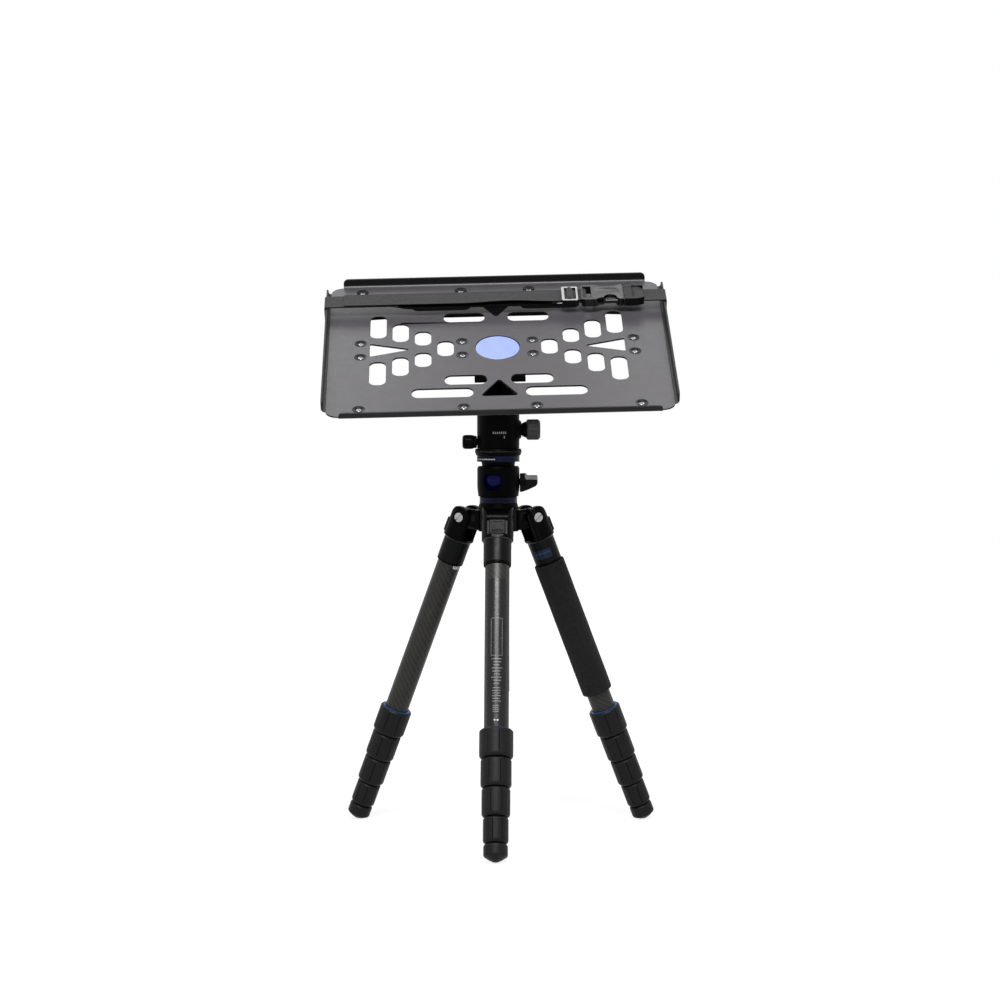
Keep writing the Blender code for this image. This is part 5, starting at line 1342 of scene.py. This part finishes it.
def make_male():
    half, thick = 16.5, 10
    start, right = 150.3, 175.5
    outline = eased(
        mirrored([(start, -half), (right - 9, -half), (right - 3, -half + 2), (right, -half + 4)]), 2, 5, True
    )
    body = slab([outline], thick)
    inner, height, tip = 13.9, 2.7, start - 24
    far, bar, edge = 166, 1.2, 12.8
    changes = []
    for sign in (-1, 1):
        low, high = sorted((sign * inner, sign * (inner - 5)))
        changes.append(("UNION", block((tip, low, -height), (start + 2, high, height))))
    changes.append(("UNION", block((tip + 6, -2.5, -height), (start + 2, 2.5, height))))
    for low, high in (
        ((far - bar - 4, -edge, -thick), (far - bar, edge, thick)),
        ((far + bar, -edge, -thick), (right + 1, edge, thick)),
        ((far - bar - 1, -edge, bar), (far + bar + 1, edge, thick)),
        ((far - bar - 1, -edge, -thick), (far + bar + 1, edge, -bar)),
        ((start - 1, -18, 3.6), (start + 1.6, 18, 6)),
    ):
        changes.append(block(low, high))
    for index in range(3):
        x = start + (3.2 + 2.6 * index)
        changes.append(block((x, -12, 4.3), (x + 0.9, 12, 6)))
    made = carved(body, *changes)
    piece("buckle_plug", made, NYLON, "buckle_male", BUCKLE, True, 0.7, 4)
    # A light strip along the prong's edge: a painted highlight.
    line = block((tip + 3, -inner - 0.15, 1.0), (start - 2, -inner + 1, 2.2))
    piece("buckle_prong_highlight", line, SLIDER_HIGHLIGHT, "buckle_male", BUCKLE, False, 0.3, 2)
    middle = (LOWER + UPPER) / 2
    arch = [(far + 8.4 * x, middle - 1.2 + 5.2 * math.sqrt(max(0.0,
        1 - x * x))) for x in [-1 + i / 8 for i in range(17)]]
    roll = slab([arch], 24.4, translation(0, STRAP_Y, 0) @ DRAWN_IN_XZ)
    piece("buckle_roll", roll, WEBBING, "strap", TRAY, False, 0.3, 2)


# Studio

FLOOR_DROP = -0.0005  # metres, so that the floor and the feet don't share a plane

def make_camera():
    pitch, roll = 2.1 * DEG, -0.133 * DEG
    back = Matrix.Rotation(1.124 * DEG, 3, "Z") @ Vector((0, -math.cos(pitch), math.sin(pitch)))
    right = Vector((0, 0, 1)).cross(back).normalized()
    up = back.cross(right)
    x = right * math.cos(roll) + up * math.sin(roll)
    y = up * math.cos(roll) - right * math.sin(roll)
    data = bpy.data.cameras.new("camera")
    data.lens = 90.37
    data.sensor_width = 36.0
    data.clip_end = 100
    camera = shown("camera", data)
    place = COLUMN.translation + Vector((0.0595, -2.9369, 0.4987))
    rotation = Matrix((x, y, back)).transposed().to_4x4()
    camera.matrix_world = Matrix.Translation(place) @ rotation
    bpy.context.scene.camera = camera


def lamp(name, place, target, size, power):
    data = bpy.data.lights.new(name, "AREA")
    data.shape = "RECTANGLE"
    data.size, data.size_y = size
    data.energy = power
    obj = shown(name, data)
    obj.location = place
    obj.rotation_euler = (Vector(place) - Vector(target)).to_track_quat("Z", "Y").to_euler()


def nearness(tree):
    """How much of the floor's own shading shows: a share by the object, fading to nothing away from it."""
    place = add_node(tree, "TexCoord", "Object")
    length = add_node(tree, "VectorMath", "Value", [place], operation="LENGTH")
    span = {"Value": length, "From Min": 0.25, "From Max": 0.75, "To Min": 0.25, "To Max": 0.0}
    return add_node(tree, "MapRange", 0, span, interpolation_type="SMOOTHSTEP")


def seen_white(holder, output, lit, strength=1.0, keep=None):
    """Camera, glossy and transmission rays see white, but for the share kept; other rays see what is lit."""
    tree = holder.node_tree
    rays = tree.nodes.new("ShaderNodeLightPath").outputs
    first = (rays["Is Camera Ray"], rays["Is Glossy Ray"])
    seen = add_node(tree, "Math", 0, first, operation="MAXIMUM")
    seen = add_node(tree, "Math", 0, (seen, rays["Is Transmission Ray"]), operation="MAXIMUM")
    if keep:
        rest = add_node(tree, "Math", 0, (1.0, keep), operation="SUBTRACT")
        seen = add_node(tree, "Math", 0, (seen, rest), operation="MULTIPLY")
    kind = "Emission" if keep else "Background"
    white = add_node(tree, kind, 0, {"Color": (1, 1, 1, 1), "Strength": strength})
    mix = add_node(tree, "MixShader", 0, (seen, lit, white))
    tree.links.new(mix, output.inputs["Surface"])


def make_studio():
    scene = bpy.context.scene
    scene.view_settings.view_transform = "Standard"
    world = bpy.data.worlds.new("studio")
    scene.world = world
    world.use_nodes = True
    tree = world.node_tree
    soft = tree.nodes["Background"]
    soft.inputs["Color"].default_value = (1, 1, 1, 1)
    soft.inputs["Strength"].default_value = 0.17
    seen_white(world, tree.nodes["World Output"], soft.outputs[0])
    floor = bpy.data.materials.new("floor")
    floor.use_nodes = True
    shader = floor.node_tree.nodes["Principled BSDF"]
    shader.inputs["Base Color"].default_value = (0.72, 0.72, 0.72, 1)
    shader.inputs["Roughness"].default_value = 0.9
    shader.inputs["Specular IOR Level"].default_value = 0.0
    seen_white(
        floor, floor.node_tree.nodes["Material Output"], shader.outputs[0], 1.16, nearness(floor.node_tree)
    )
    size = 6.0
    mesh = bpy.data.meshes.new("floor")
    corners = [(x * size, y * size, FLOOR_DROP) for x, y in ((-1, -1), (1, -1), (1, 1), (-1, 1))]
    mesh.from_pydata(corners, [], [(0, 1, 2, 3)])
    ground = shown("floor", mesh)
    mesh.materials.append(floor)
    centre = COLUMN.translation + Vector((0, 0, 0.35))
    lamp("key", centre + Vector((-0.05, -1.2, 1.2)), centre, (0.9, 0.5), 43)
    tray = TRAY.translation
    for name, side in (("top_left", -1), ("top_right", 1)):
        lamp(name, tray + Vector((side * 0.47, 0.36, 0.78)), tray, (0.62, 0.7), 3.0)


make_camera()
make_studio()
make_legs()
make_spider()
make_column()
make_level()
make_head()
make_clamp()
make_plate()
make_tray()
make_strap()
make_slider()
make_female()
make_male()
